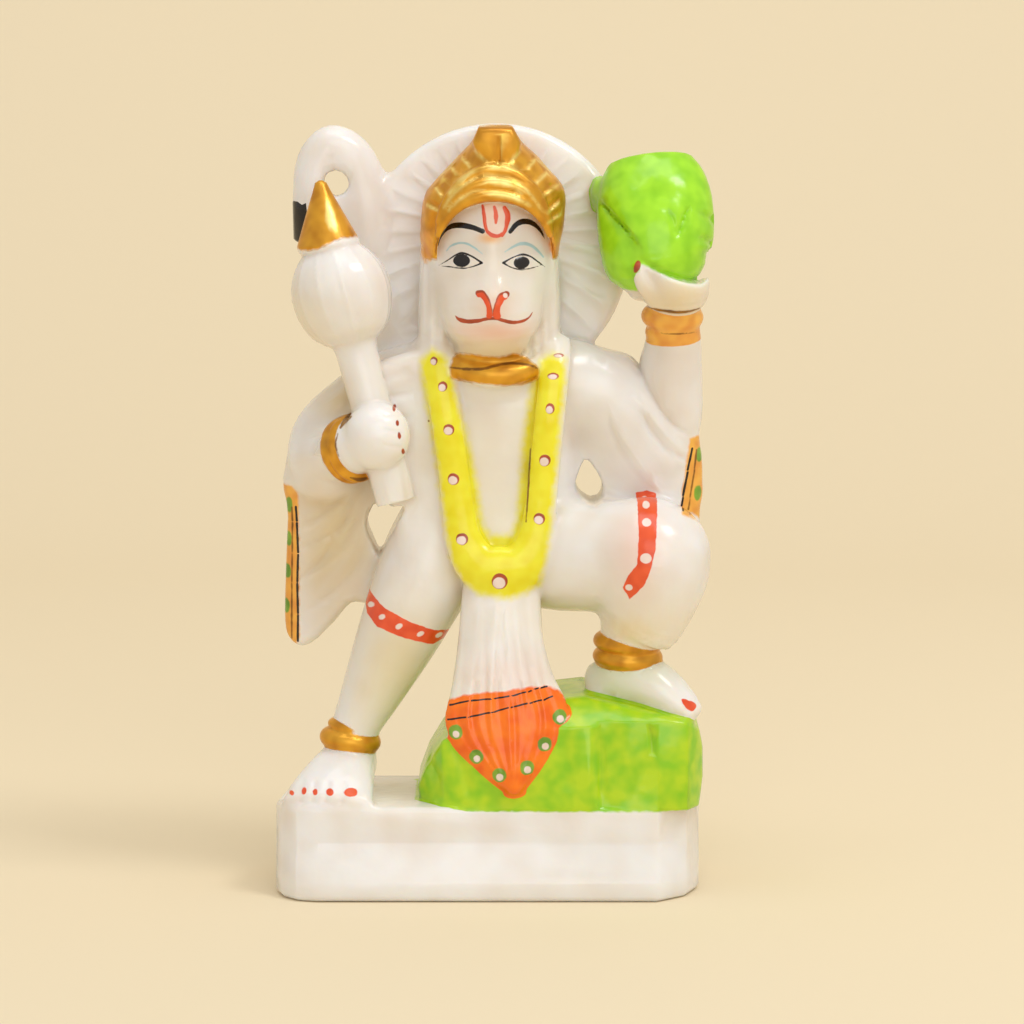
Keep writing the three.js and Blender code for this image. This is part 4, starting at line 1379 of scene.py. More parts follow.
@dataclass(frozen=True)
class FacePaint:
    """The painted features, with the mark between the brows."""

    black: tuple[Mark, ...] = (
        Stroke(((-9.6, 106.4, 0.05), (-7.8, 107.5, 0.1), (-6.0, 108.7, 0.15), (-4.7, 109.0, 0.2),
                (-3.0, 108.4, 0.16), (-1.0, 107.2, 0.2))),
        Stroke(((-9.6, 106.4, 0.05), (-7.5, 106.3, 0.1), (-4.7, 106.1, 0.12), (-2.7, 106.5, 0.12),
                (-1.0, 107.2, 0.18))),
        Spot((-5.0, 107.55), (1.66, 1.22)),
        Stroke(((3.1, 107.2, 0.2), (5.0, 108.2, 0.14), (6.75, 108.7, 0.2), (8.4, 108.3, 0.15),
                (9.9, 107.2, 0.14), (11.3, 106.1, 0.05))),
        Stroke(((3.1, 107.2, 0.16), (4.7, 106.3, 0.12), (6.6, 105.8, 0.12), (8.5, 106.0, 0.11),
                (10.6, 106.5, 0.05))),
        Spot((6.7, 107.15), (1.56, 1.16)),
        Stroke(((-9.7, 110.2, 0.05), (-9.1, 112.0, 0.14), (-8.1, 113.4, 0.34), (-6.8, 114.2, 0.5),
                (-5.2, 114.4, 0.56), (-3.7, 114.2, 0.54), (-2.2, 113.8, 0.48), (-0.9, 113.3, 0.48))),
        Stroke(((4.5, 113.2, 0.4), (5.6, 114.5, 0.5), (6.9, 115.1, 0.55), (8.4, 114.9, 0.5),
                (9.6, 114.1, 0.38), (10.6, 112.9, 0.24), (11.3, 111.4, 0.06))),
    )
    crease_shadow: Stroke = Stroke(
        ((-8.0, 109.3, 0.08), (-7.1, 110.3, 0.16), (-5.5, 110.9, 0.2), (-3.9, 110.8, 0.2),
         (-2.4, 110.0, 0.18),
         (-0.9, 108.9, 0.08)))
    crease_light: Stroke = Stroke(
        ((3.5, 109.3, 0.1), (5.0, 110.2, 0.2), (6.6, 110.8, 0.32), (8.1, 110.6, 0.3), (9.6, 109.6, 0.26),
         (11.0, 108.0, 0.12)))
    pink: tuple[Mark, ...] = (
        Patch(((-0.7, 118.4), (-0.4, 115.5), (-0.1, 113.6), (0.9, 112.7), (2.3, 112.5), (3.3, 113.4),
               (3.8, 115.6), (3.5, 118.3))),
    )
    maroon: tuple[Mark, ...] = (
        Stroke(((-1.75, 101.45, 0.56), (-0.9, 101.3, 0.62), (0.0, 100.05, 0.54), (0.4, 98.7, 0.5),
                (0.45, 97.2, 0.56))),
        Stroke(((3.7, 101.2, 0.66), (2.8, 100.7, 0.74), (2.1, 99.5, 0.62), (1.8, 98.3, 0.6),
                (1.85, 97.2, 0.7))),
        Stroke(((-6.3, 96.9, 0.06), (-5.5, 96.2, 0.36), (-4.1, 95.9, 0.44), (-2.2, 96.0, 0.38),
                (0.2, 96.5, 0.3), (1.8, 96.5, 0.3), (3.2, 96.1, 0.38), (5.0, 95.7, 0.36), (6.8, 95.9, 0.3),
                (8.1, 96.5, 0.16), (8.9, 97.6, 0.04))),
    )
    vermilion: tuple[Mark, ...] = (
        Stroke(((-0.9, 118.3, 0.26), (-0.6, 116.2, 0.34), (-0.4, 114.4, 0.3), (0.1, 113.2, 0.38),
                (1.1, 112.5, 0.4), (2.2, 112.4, 0.34), (3.0, 112.8, 0.3))),
        Stroke(((3.4, 117.8, 0.4), (3.95, 116.4, 0.56), (3.85, 114.8, 0.42), (3.5, 113.4, 0.34),
                (2.9, 112.4, 0.24))),
        Stroke(((1.4, 118.0, 0.28), (1.7, 116.6, 0.44), (1.65, 114.9, 0.26))),
        Stroke(((-1.65, 101.1, 0.4), (-0.95, 101.0, 0.5), (-0.15, 99.8, 0.42), (0.3, 98.6, 0.44),
                (0.4, 97.1, 0.6))),
        Stroke(((3.5, 100.7, 0.5), (2.85, 100.4, 0.6), (2.25, 99.3, 0.54), (1.95, 98.2, 0.56),
                (1.95, 97.1, 0.76))),
    )
    # A pale spot in the right nostril: a painted highlight.
    nostril_highlight: Spot = Spot((3.55, 101.0), (0.42, 0.52), -25)
    # Blush round the mouth, painted warm shade under the chin, and an orange smear under the mark between the
    # brows.
    mists: tuple[Spray, ...] = (
        (Mist.BLUSH, (1.4, -14, 93.8), (7.5, 9, 2.2), 0.5),
        (Mist.BLUSH, (1.2, -15, 98.5), (3.2, 6, 3.2), 0.3),
        (Mist.HONEY, (1.4, -8, 89.5), (11, 14, 3), 0.6),
        (Mist.HONEY, (0.6, -13, 112), (2.2, 6, 1), 1.0),
        (Mist.BLUSH, (0.6, -13, 112), (2.2, 6, 1), 0.6),
    )

    def lay(self, painting: Painting) -> None:
        """Paints the face."""
        rows = (
            (Coat.BLACK, self.black), (Coat.PINK, self.pink), (Coat.VERMILION, self.vermilion),
            (Coat.MAROON, self.maroon), (Coat.PEARL, (self.nostril_highlight,)),
            (Coat.BLUE, (self.crease_light, self.crease_shadow)),
        )
        for coat, marks in rows:
            for mark in marks:
                painting.mark(coat, mark, back=-2)
        painting.spray_all(self.mists)


@dataclass(frozen=True)
class GarlandPaint:
    """Lemon yellow with a row of dots down each strand and a larger one at the bottom."""

    dots: tuple[tuple[float, float, float, float], ...] = (
        (-10.5, 87.6, 0.7, 0.8), (-8.8, 82.7, 0.9, 1.0), (-7.6, 74.3, 1.1, 1.1), (-6.7, 64.5, 1.15, 1.2),
        (-5.0, 52.7, 1.2, 1.2), (2.4, 44.5, 1.6, 1.6), (10.2, 56.7, 1.15, 1.15), (11.3, 68.2, 1.15, 1.2),
        (12.3, 78.4, 0.9, 1.05), (12.9, 84.7, 1.1, 0.65), (14.0, 88.6, 1.0, 0.4),
    )
    area: Patch = Patch((
        (-13.3, 87.2), (-12.8, 83), (-11.5, 76), (-10.2, 68), (-9.1, 60), (-8.3, 54), (-7.3, 48.6),
        (-5, 43.9),
        (-1.2, 41.7), (4.2, 41), (7.6, 42), (10.3, 43.2), (11.7, 49), (12.4, 53.1), (12.9, 59.3),
        (13.7, 66.1),
        (14.4, 75), (15.4, 83.1), (15.4, 87.8), (12.9, 89), (10.6, 88), (8.6, 83.1), (7.6, 76.3), (6.9, 70.9),
        (6.5, 64.1), (5.7, 56), (4.6, 53.1), (0.4, 53), (-1.1, 55.9), (-1.9, 62.7), (-3.2, 69.5),
        (-4.9, 76.3),
        (-6.6, 83.1), (-8.2, 88.4), (-10.9, 90),
    ), False)
    # The pale middle of each dot: its place and size against the dot's own.
    pearl_left: float = 0.12
    pearl_drop: float = 0.22
    pearl_wide: float = 0.78
    pearl_tall: float = 0.92
    crack: Stroke = Stroke(((8.5, 70.2, 0.12), (8.2, 65, 0.16), (7.95, 61, 0.16), (7.6, 56, 0.12)))

    def lay(self, painting: Painting, garland: Garland) -> None:
        """Paints the garland.

        Args:
            painting: the paint so far.
            garland: the carved roll, not used.
        """
        painting.mark(Coat.YELLOW, self.area, back=3, side=0.7)
        for x, z, wide, tall in self.dots:
            painting.mark(Coat.MAROON, Spot((x, z), (wide, tall)))
            drop = tall * self.pearl_drop
            half = (wide * self.pearl_wide, (tall - drop) * self.pearl_tall)
            painting.mark(Coat.PEARL, Spot((x - self.pearl_left, z - drop), half))
        painting.mark(Coat.UMBER, self.crack)
        # Yellow overspray round the garland.
        painting.spray(Mist.HONEY, (1.5, -9, 64), (13, 5, 26), 0.22)


@dataclass(frozen=True)
class ClothPaint:
    """The orange ends of the sash and shawl, with their dashed lines and dots."""

    sash_end: Patch = Patch((
        (-10, 19), (-8, 20.8), (-4.6, 22.2), (-1, 22.8), (2.8, 23), (6.3, 23.6), (10.4, 24), (13.2, 23.4),
        (15, 21.8), (17, 18.5), (17, 8), (5, -1), (-8, 8),
    ))
    dashes: tuple[tuple[Flat, ...], ...] = (
        ((-7.7, 20.1), (-3.4, 21.2), (1.2, 21.7), (4.5, 22.2), (7.8, 23.0), (10.3, 23.7), (12.0, 23.9)),
        ((-8.1, 17.3), (-4.0, 18.0), (0.7, 19.0), (4.4, 20.0), (8.1, 20.8), (10.9, 21.4), (13.1, 22.0)),
    )
    dash_gap: float = 0.28
    dash_half: float = 0.17
    leaf_half: Flat = (1.4, 1.45)
    pearl_half: Flat = (0.7, 0.72)
    hem_leaf_half: Flat = (0.75, 1.5)
    sash_dots: tuple[Flat, ...] = (
        (-6.3, 15.0), (-2.2, 10.3), (2.3, 6.8), (7.8, 8.3), (11.3, 12.8), (14.2, 18.0),
    )
    left_hem: Patch = Patch((
        (-38, 60.4), (-39.2, 61.8), (-44, 62), (-44, 29.4), (-38.6, 29.4), (-38, 31), (-37.9, 40),
        (-37.9, 50),
    ), False)
    left_crossings: tuple[float, ...] = (54.4, 47.6, 42.0)
    left_leaves: tuple[Flat, ...] = ((-39.9, 57.7), (-40.1, 50.8), (-40.3, 44.3), (-40.6, 37.3))
    right_hem: Patch = Patch((
        (40.2, 71.6), (44, 72.4), (44, 54), (41, 56.4), (38.3, 57.6), (38.8, 61.3), (39.5, 66.5),
    ), False)
    right_leaves: tuple[Flat, ...] = ((42.3, 68.2), (41.9, 60.5))

    def lay(self, painting: Painting, sash: Sash) -> None:
        """Paints the ends of the cloths.

        Args:
            painting: the paint so far.
            sash: the carved end of the loincloth.
        """
        painting.cover(Coat.ORANGE, sash.cloth, 0.7, self.sash_end)
        for line in self.dashes:
            for (x0, z0), (x1, z1) in zip(line, line[1:]):
                ends = ((x0 + self.dash_gap, z0, self.dash_half), (x1 - self.dash_gap, z1, self.dash_half))
                stroke = Stroke(ends)
                painting.mark(Coat.BLACK, stroke, back=-8, side=0.8)
        for x, z in self.sash_dots:
            painting.mark(Coat.LEAF, Spot((x, z), self.leaf_half), back=-8)
            painting.mark(Coat.PEARL, Spot((x + 0.1, z - 0.4), self.pearl_half), back=-8)
        painting.mark(Coat.SAND, self.left_hem, front=-1, back=17, side=1.1)
        painting.mark(Coat.SAND, self.right_hem, front=-12, back=17, side=1.1)
        self.lay_hem(
            painting,
            ((-38.5, 57.6), (-38.3, 54.3), (-38.1, 47.9), (-38.3, 42), (-38.2, 35.6), (-38.3, 29.8)),
            ((-39.3, 57.4), (-39.2, 54.3), (-39.3, 48), (-39.4, 42), (-39.5, 30.4)), self.left_leaves, 6.5,
        )
        self.lay_hem(
            painting, ((40.7, 69.8), (39.8, 65.1), (38.9, 60.0), (38.6, 58.0)),
            ((41.6, 69.4), (41.2, 65.4), (40.3, 59.6), (40.0, 57.2)), self.right_leaves, 2.5,
        )

    def lay_hem(
        self, painting: Painting, inner: Sequence[Flat], outer: Sequence[Flat], leaves: Sequence[Flat],
        leaves_back: float,
    ) -> None:
        """Paints a hem's black line, its brown line and the leaves on its edge.

        Args:
            painting: the paint so far.
            inner: where the black line breaks, from the top down.
            outer: where the brown line breaks.
            leaves: the middles of the leaves.
            leaves_back: how far back the leaves reach.
        """
        for coat, line, half, gap in ((Coat.BLACK, inner, 0.23, 0.25), (Coat.UMBER, outer, 0.16, 0.2)):
            for (x0, z0), (x1, z1) in zip(line, line[1:]):
                middle = ((x0 + x1) / 2, (z0 + z1) / 2, half)
                mark = Stroke(((x0, z0 - gap, half), middle, (x1, z1 + gap, half)))
                painting.mark(coat, mark, front=-12, back=16, side=1.1)
        for x, z in leaves:
            leaf = Spot((x, z), self.hem_leaf_half)
            painting.mark(Coat.LEAF, leaf, front=-12, back=leaves_back, side=1.1)


@dataclass(frozen=True)
class BodyPaint:
    """Metal paint on the rings and bands, vermilion bands on the legs, nails and the green stone, with
    painted highlights on the gold and sprays of painted shade and reflections.
    """

    left_band: Patch = Patch((
        (-24.3, 41.2), (-23.6, 41.4), (-20.6, 38.6), (-15, 35.8), (-10.4, 33.9), (-7.5, 33.4), (-7.4, 32.2),
        (-10.8, 30.9), (-16.9, 32.8), (-22, 34.8), (-24, 37.1), (-24.5, 39),
    ), False)
    left_band_dots: tuple[Flat, ...] = (
        (-23.2, 38.8), (-21.0, 36.7), (-17.6, 35.0), (-13.3, 33.4), (-9.7, 32.7),
    )
    right_band: Patch = Patch((
        (29.5, 60.8), (31.6, 61.2), (33.5, 60.8), (33.1, 55.8), (32.9, 51.7), (32, 47.7), (30.7, 44.4),
        (27.9, 41.5), (26.5, 43.8), (27.6, 46.4), (29.3, 48.7), (29.6, 53.8),
    ), False)
    right_band_dots: tuple[tuple[float, float, float], ...] = (
        (31.2, 59.5, 0.7), (31.2, 56.5, 0.85), (31.0, 49.8, 1.1), (27.7, 43.9, 0.7),
    )
    nails: tuple[Mark, ...] = (
        Spot((-38.8, 2.3), (0.5, 0.34), 20), Spot((-36.3, 2.8), (0.46, 0.62), 25), Spot((-34.0, 2.8),
        (0.48, 0.58), 20),
        Spot((-31.1, 2.9), (0.76, 0.6)), Spot((-27.0, 2.9), (1.3, 0.76)),
        Patch(((38.2, 21.2), (39.5, 21), (41.3, 19.9), (40.5, 18.8), (39.2, 19.5))),
    )
    finger_nails: tuple[Spot, ...] = (
        Spot((-18.3, 78.6), (0.3, 0.5), -12), Spot((-17.6, 76), (0.3, 0.55), -10),
        Spot((-17.2, 73.5), (0.34, 0.7), -8), Spot((-16.5, 70.3), (0.3, 0.7), -8),
    )
    crown_tips: tuple[Spot, ...] = (Spot((-12, 110), (1.5, 3)), Spot((13.7, 110.8), (1.5, 3)))
    crown_gold: Patch = Patch((
        (-20, 108.2), (-9, 107.4), (12, 107.4), (20, 108.2), (20, 140), (3.2, 140), (1.2, 133.4),
        (0.6, 133.1),
        (-0.6, 133.1), (-1.2, 133.4), (-3, 140), (-20, 140),
    ), False)
    # Pale gold strokes on the crown's rolls and bud and on the mace's cone: painted highlights.
    painted_highlights: tuple[Stroke, ...] = (
        Stroke(((-0.8, 125.7, 0.1), (0.6, 125.9, 0.35), (2.2, 126.0, 0.5), (3.9, 125.8, 0.5),
                (5.9, 125.2, 0.1))),
        Stroke(((-7.5, 120.5, 0.08), (-5.7, 123.0, 0.14), (-3.1, 124.8, 0.14), (-0.2, 126.0, 0.1))),
        Stroke(((-8.4, 118.0, 0.08), (-7.1, 119.9, 0.14), (-4.8, 122.2, 0.14), (-2.1, 123.8, 0.14),
                (1.0, 124.3, 0.16), (3.9, 124.0, 0.14), (6.4, 122.6, 0.14), (8.7, 120.1, 0.14),
                (11.0, 117.1, 0.08))),
        Stroke(((-1.0, 122.9, 0.15), (1.0, 123.3, 0.5), (3.1, 123.2, 0.55), (4.9, 122.2, 0.35),
                (6.9, 120.6, 0.08))),
        Stroke(((-7.5, 117.4, 0.08), (-5.6, 119.5, 0.13), (-2.9, 121.1, 0.14), (-0.6, 121.8, 0.1))),
        Stroke(((-0.6, 120.9, 0.1), (1.4, 120.7, 0.42), (3.6, 120.4, 0.5), (5.8, 119.7, 0.4),
                (8.3, 118.3, 0.1))),
        Stroke(((3.3, 132.2, 0.6), (3.7, 130.2, 0.9), (3.6, 128.4, 0.45))),
        Stroke(((-31.9, 119.6, 0.2), (-31.1, 117.2, 0.7), (-30.4, 114.9, 1.0), (-29.9, 113.4, 0.5))),
        Stroke(((-0.5, 129.5, 0.2), (0.3, 130.4, 0.5), (0.6, 131.8, 0.3))),
    )
    hill_green: Patch = Patch((
        (19, 102), (29.6, 101.2), (29.8, 106.9), (30.6, 106.6), (33.1, 105.3), (36.9, 103.8), (39.4, 103.1),
        (41.9, 102.8), (43.6, 104.3), (46, 103), (48, 112), (48, 131), (18, 131),
    ), False)
    rock_green: Patch = Patch(((-20, -0.8), (50, -0.8), (50, 30), (-20, 30)), False)
    rock_corner: Patch = Patch(((34, -0.8), (46, -0.8), (46, 5), (34, 5)), False)
    cone_gold: Patch = Patch((
        (-40, 109.8), (-37.5, 109.7), (-36.5, 109.4), (-34.8, 109.4), (-33, 109.8), (-31.5, 110.5),
        (-30, 111.3),
        (-28.5, 111.8), (-24, 112.2), (-24, 126), (-40, 126),
    ), False)
    ring_lines: tuple[Stroke, ...] = (
        Stroke(((-26.7, 77, 0.15), (-28, 75.9, 0.42), (-28.9, 74.6, 0.2))),
        Stroke(((-24, 64.3, 0.3), (-25.3, 64.1, 0.42), (-27, 64.7, 0.12))),
        Stroke(((-29.4, 73.6, 0.08), (-29.8, 71.4, 0.16), (-29.2, 69, 0.08))),
        Stroke(((31.6, 97.9, 0.14), (34.4, 97.5, 0.3), (38.3, 97.2, 0.3), (41.8, 97.8, 0.14))),
        Stroke(((33.6, 92.9, 0.05), (36.4, 92.7, 0.14), (41.4, 92.9, 0.1))),
    )
    specks: tuple[Spot, ...] = (
        Spot((-11.6, 75.7), (0.22, 0.2)), Spot((-40.0, -1.5), (0.25, 0.25)), Spot((0.9, -6.4), (0.28, 0.2)),
    )
    thumb_nail: Spot = Spot((29.3, 106.3), (0.6, 1.25), 18)
    collar: Patch = Patch((
        (-7.4, 85.7), (-7, 87.7), (-5.4, 89.1), (-0.9, 88.8), (2.4, 88.6), (5.6, 89.1), (8.5, 87.7),
        (10.1, 86.1),
        (9.9, 83.9), (7.2, 83.1), (3.2, 82.9), (-0.1, 83.3), (-5, 83.7), (-7, 84.3),
    ))
    collar_line: Stroke = Stroke((
        (-7.3, 86.4, 0.12), (-4.2, 86.2, 0.26), (-0.9, 86.3, 0.28), (2, 87, 0.24), (4.9, 87.3, 0.24),
        (8.3, 86.9, 0.2), (10, 86.1, 0.12),
    ))
    tail_tip: Patch = Patch((
        (-42, 107), (-42, 118.1), (-38.8, 118.2), (-37, 118), (-35.6, 118.1), (-33, 118), (-33, 107),
    ), False)
    # Blush on the knee band and the sash's top, green overspray on the halo beside the hill's bridge, and
    # painted shade with painted warm and green reflections on the shaded and lower sides of the face, legs,
    # shawl, arms, palm and mace ball.
    mists: tuple[Spray, ...] = (
        (Mist.BLUSH, (29.5, -17, 52), (5, 6, 9), 0.35),
        (Mist.BLUSH, (3, -14, 26), (12, 6, 4), 0.2),
        (Mist.MOSS, (20.5, 8, 113), (3, 8, 7), 0.3),
        (Mist.MOSS, (27, -6, 26), (12, 12, 3.2), 0.35),
        (Mist.MOSS, (-12, -6, 20), (10, 14, 12), 0.25),
        (Mist.HONEY, (8, 0, 37), (16, 12, 5), 0.4),
        (Mist.HONEY, (34, 0, 97), (9, 9, 3), 0.4),
        (Mist.HONEY, (31, -10, 37), (9, 10, 8), 0.5),
        (Mist.HONEY, (-18, -6, 26), (9, 12, 14), 0.45),
        (Mist.HONEY, (-30, 4, 50), (8, 9, 15), 0.5),
        (Mist.HONEY, (-37, -10, 96), (6, 7, 6), 0.35),
        (Mist.HONEY, (MIDDLE_X, -12, 104), (14, 9, 14), 0.12),
        (Mist.GRIME, (MIDDLE_X, -12, 104), (14, 9, 14), 0.35),
        (Mist.GRIME, (-31, 6, 50), (9, 9, 16), 0.95),
        (Mist.GRIME, (-29, -2, 80), (6, 8, 5), 0.9),
        (Mist.HONEY, (37, -11, 99.5), (9, 9, 4.5), 0.5),
        (Mist.GRIME, (36, -9, 98.6), (8, 9, 4), 0.5),
        (Mist.HONEY, (29, -12, 35.5), (7, 7, 3.5), 0.8),
        (Mist.HONEY, (-29, -2, 80), (6, 8, 5), 0.45),
        (Mist.GRIME, (37, -4, 84), (7, 9, 9), 0.5),
        (Mist.GRIME, (-19, -9, 30), (8, 9, 12), 0.4),
    )

    def lay(self, painting: Painting, parts: "Figure") -> None:
        """Paints the stone, the metal and the bands, the painted highlights on the gold, and the sprays of
        painted shade and reflected light.

        Args:
            painting: the paint so far.
            parts: the carved parts.
        """
        painting.cover(Coat.ROCK, parts.rock, 0.8, self.rock_green)
        painting.mark(Coat.ROCK, self.rock_corner, back=10, side=1.1)
        painting.cover(Coat.HILL, parts.hill.body, 0.8, self.hill_green)
        painting.cover(Coat.HILL, parts.hill.bridge, 0.4)
        painting.cover(Coat.GOLD, parts.crown, 0.35, self.crown_gold)
        for roll in parts.crown.rolls:
            painting.cover(Coat.GOLD, roll, 0.3)
        painting.cover(Coat.GOLD, parts.crown.bud, 0.3, self.crown_gold)
        # A pale stroke down each cusp of the fan: painted highlight.
        for inner, outer in parts.crown.cusps:
            middle = tuple((a + b) / 2 for a, b in zip(inner, outer))
            painting.mark(Coat.GLINT, Stroke(((*inner, 0.1), (*middle, 0.22), (*outer, 0.08))))
        for line in self.painted_highlights:
            painting.mark(Coat.GLINT, line)
        for tip in self.crown_tips:
            painting.mark(Coat.SAND, tip, side=1.1)
        for ring in (parts.standing_leg.anklet, parts.bent_leg.anklet, parts.mace_arm.wrist_band):
            painting.cover(Coat.GOLD, ring, 0.3)
        painting.cover(Coat.SAND, parts.raised_arm.bracelet, 0.85)
        painting.cover(Coat.GOLD, parts.mace.cone, 0.4, self.cone_gold)
        for line in self.ring_lines:
            painting.mark(Coat.UMBER, line, side=1.1)
        painting.mark(Coat.GOLD, self.collar)
        for speck in self.specks:
            painting.mark(Coat.UMBER, speck)
        painting.mark(Coat.UMBER, self.collar_line)
        painting.mark(Coat.VERMILION, self.left_band, back=1.5, side=1.1)
        painting.mark(Coat.VERMILION, self.right_band, side=0.6)
        for x, z in self.left_band_dots:
            painting.mark(Coat.PEARL, Spot((x, z), (0.75, 0.5), -25))
        for x, z, size in self.right_band_dots:
            painting.mark(Coat.PEARL, Spot((x, z), (size, size * 0.9)))
        for nail in self.nails:
            painting.mark(Coat.VERMILION, nail)
        for nail in self.finger_nails:
            painting.mark(Coat.MAROON, nail, side=0.8)
        painting.mark(Coat.MAROON, self.thumb_nail)
        painting.mark(Coat.BLACK, self.tail_tip, front=6, back=18, side=1.1)
        painting.spray_all(self.mists)


@dataclass(eq=False)
class Figure:
    """The whole carving, in the order that its forms are cut."""

    plinth: Plinth = Plinth()
    rock: Rock = Rock()
    torso: Torso = Torso()
    shawl: Shawl = Shawl()
    standing_leg: StandingLeg = StandingLeg()
    bent_leg: BentLeg = BentLeg()
    halo: Halo = Halo()
    tail: Tail = Tail()
    head: Head = Head()
    crown: Crown = Crown()
    mace_arm: MaceArm = MaceArm()
    raised_arm: RaisedArm = RaisedArm()
    mace: Mace = Mace()
    hill: Hill = Hill()
    sash: Sash = Sash()
    garland: Garland = Garland()

    # Areas seen from the front, as x and height from and to. In the close ones the mesh keeps most of its
    # points, and in the fine ones, which are full of paint, all of them.
    close_areas: tuple[Area, ...] = (
        (-12, 88, 14, 121), (-13.5, 41, 16.5, 90), (-9, 1, 17, 25), (-40, 88, -17, 112), (28, 88, 45, 112),
        (-35, 7, -19, 17), (20, 25, 36, 35),
    )
    fine_areas: tuple[Area, ...] = (
        (-11, 105, 12.6, 116.5), (-2.4, 116, 5.4, 119.2), (-7.6, 94.4, 10, 98.4), (-3.6, 97.8, 5.6, 102.8),
        (-9, 16, 14, 25), (-43, 28, -36.5, 63), (37.5, 55, 44, 73), (-20, 68, -14.5, 81), (26, 41, 34, 62),
        (-25.4, 30, -8, 42), (-41, 0.5, -25, 5), (37, 17.5, 42.5, 22), (27.5, 103, 31.5, 109),
        (6.4, 55, 9.6, 71),
        (-8.5, 82.8, 11, 89.4), (31, 92, 43, 98.8), (-31, 62.5, -23.5, 78.5), (-13, 74.5, -10.5, 77),
    )
    dot_reach: float = 1.9  # round the middle of each dot, which is a fine area too
    close_weight: float = 0.975  # how freely faces may merge in the close areas, from 0 to 1
    fine_hold: float = 20.0  # how strongly the fine and the close areas resist it
    # Areas with finer brush lines, as x and height from and to and the farthest depth, split once more.
    brushed_areas: tuple[tuple[float, float, float, float, float], ...] = (
        (-10.2, 105.2, 11.8, 115.9, -7), (-1.7, 115.9, 4.9, 119, -7), (-6.9, 94.9, 9.5, 97.9, -7),
        (-2.9, 97.9, 4.9, 102.4, -7), (-42, 28.5, -36.8, 62, 16), (37.8, 56, 43.5, 72.6, 16),
        (-8.8, 16.8, -3.7, 21.6, -8), (-3.7, 17.5, 1, 22.2, -8), (1, 18.5, 5, 22.8, -8),
        (5, 19.5, 9, 23.6, -8), (9, 20.5, 13.8, 24.4, -8), (-19.2, 69, -15.6, 80.4, -8), (7, 55, 9.2, 71, 0),
    )
    faces_allowed: int = 135000  # before the brushed areas are split
    body_edge: Flat = (-0.3, 0.1)  # where the paint's body thins out, as distances to its edge
    metal_edge: Flat = (-0.2, 0.2)
    hollow_reach: float = 1.6  # how far off the skin a hollow is felt
    # how strongly hollows are darkened with painted shade
    hollow_shade: float = 0.5
    settling: int = 3  # times that the points are moved onto the surface

    def carve(self, block: Block) -> None:
        """Cuts every form, then the folds that run across several."""
        for part in (
            self.plinth, self.rock, self.torso, self.shawl, self.standing_leg, self.bent_leg, self.halo,
            self.tail, self.head, self.crown, self.mace_arm, self.raised_arm, self.mace, self.hill, self.sash,
            self.garland,
        ):
            part.carve(block)
            log.info("carved %s", type(part).__name__)
        self.shawl.fold(block)

    def settle(self, block: Block, points: Array) -> Array:
        """Moves points onto the surface that the grid describes."""
        for _ in range(self.settling):
            points = points - block.slope(points) * block.sample(points)[:, None]
        return points

    def build(self, block: Block) -> bpy.types.Object:
        """Turns the carved grid into one painted mesh.

        Args:
            block: the carved stone.

        Returns:
            The object, in metres and standing on its plinth.
        """
        points, quads = block.surface()
        mesh = bpy.data.meshes.new("hanuman_marble")
        mesh.vertices.add(len(points))
        mesh.vertices.foreach_set("co", points.astype(np.float32).ravel())
        mesh.loops.add(quads.size)
        mesh.loops.foreach_set("vertex_index", quads.astype(np.int32).ravel())
        mesh.polygons.add(len(quads))
        mesh.polygons.foreach_set("loop_start", np.arange(0, quads.size, 4, dtype=np.int32))
        mesh.update(calc_edges=True)
        piece = bpy.data.objects.new("hanuman_marble", mesh)
        bpy.context.collection.objects.link(piece)
        self.thin(piece, points)
        self.refine(piece.data)
        mesh = piece.data
        points = np.empty(len(mesh.vertices) * 3, np.float32)
        mesh.vertices.foreach_get("co", points)
        points = self.settle(block, points.reshape(-1, 3).astype(float))
        facing = block.slope(points)
        mesh.vertices.foreach_set("co", ((points + [0, 0, PLINTH_TOP]) * MM).astype(np.float32).ravel())
        mesh.polygons.foreach_set("use_smooth", np.ones(len(mesh.polygons), bool))
        mesh.update()
        mesh.normals_split_custom_set_from_vertices(facing)
        self.paint(mesh, block, points, facing)
        log.info("surface of %d faces", len(mesh.polygons))
        return piece

    def thin(self, piece: bpy.types.Object, points: Array) -> None:
        """Merges faces where the stone is plain, and keeps every point where it is painted finely.

        Args:
            piece: the object, in millimetres.
            points: its points.
        """
        x, y, z = points.T
        group = piece.vertex_groups.new(name="plain")
        group.add(list(range(len(points))), 1.0, "REPLACE")
        around = self.dot_reach
        middles = [dot[:2] for dot in GarlandPaint().dots] + list(ClothPaint().sash_dots)
        dots = [(u - around, w - around, u + around, w + around) for u, w in middles]
        for areas, weight in ((self.close_areas, self.close_weight), ((*self.fine_areas, *dots), 0.0)):
            for x0, z0, x1, z1 in areas:
                inside = (x > x0) & (x < x1) & (z > z0) & (z < z1) & (y < 6)
                group.add(np.flatnonzero(inside).tolist(), weight, "REPLACE")
        thinner = piece.modifiers.new("thin", "DECIMATE")
        thinner.ratio = self.faces_allowed / (2 * len(piece.data.polygons))
        thinner.vertex_group = group.name
        thinner.vertex_group_factor = self.fine_hold
        thinner.use_collapse_triangulate = True
        shaped = bpy.data.meshes.new_from_object(piece.evaluated_get(bpy.context.evaluated_depsgraph_get()))
        piece.modifiers.clear()
        piece.data = shaped

    def refine(self, mesh: bpy.types.Mesh) -> None:
        """Splits faces in four where there are fine brush lines."""
        shape = bmesh.new()
        shape.from_mesh(mesh)
        for x0, z0, x1, z1, back in self.brushed_areas:
            edges = [
                e for e in shape.edges
                if all(x0 < v.co.x < x1 and z0 < v.co.z < z1 and v.co.y < back for v in e.verts)
            ]
            bmesh.ops.subdivide_edges(shape, edges=edges, cuts=1, use_grid_fill=True)
        bmesh.ops.triangulate(shape, faces=shape.faces)
        shape.to_mesh(mesh)
        shape.free()

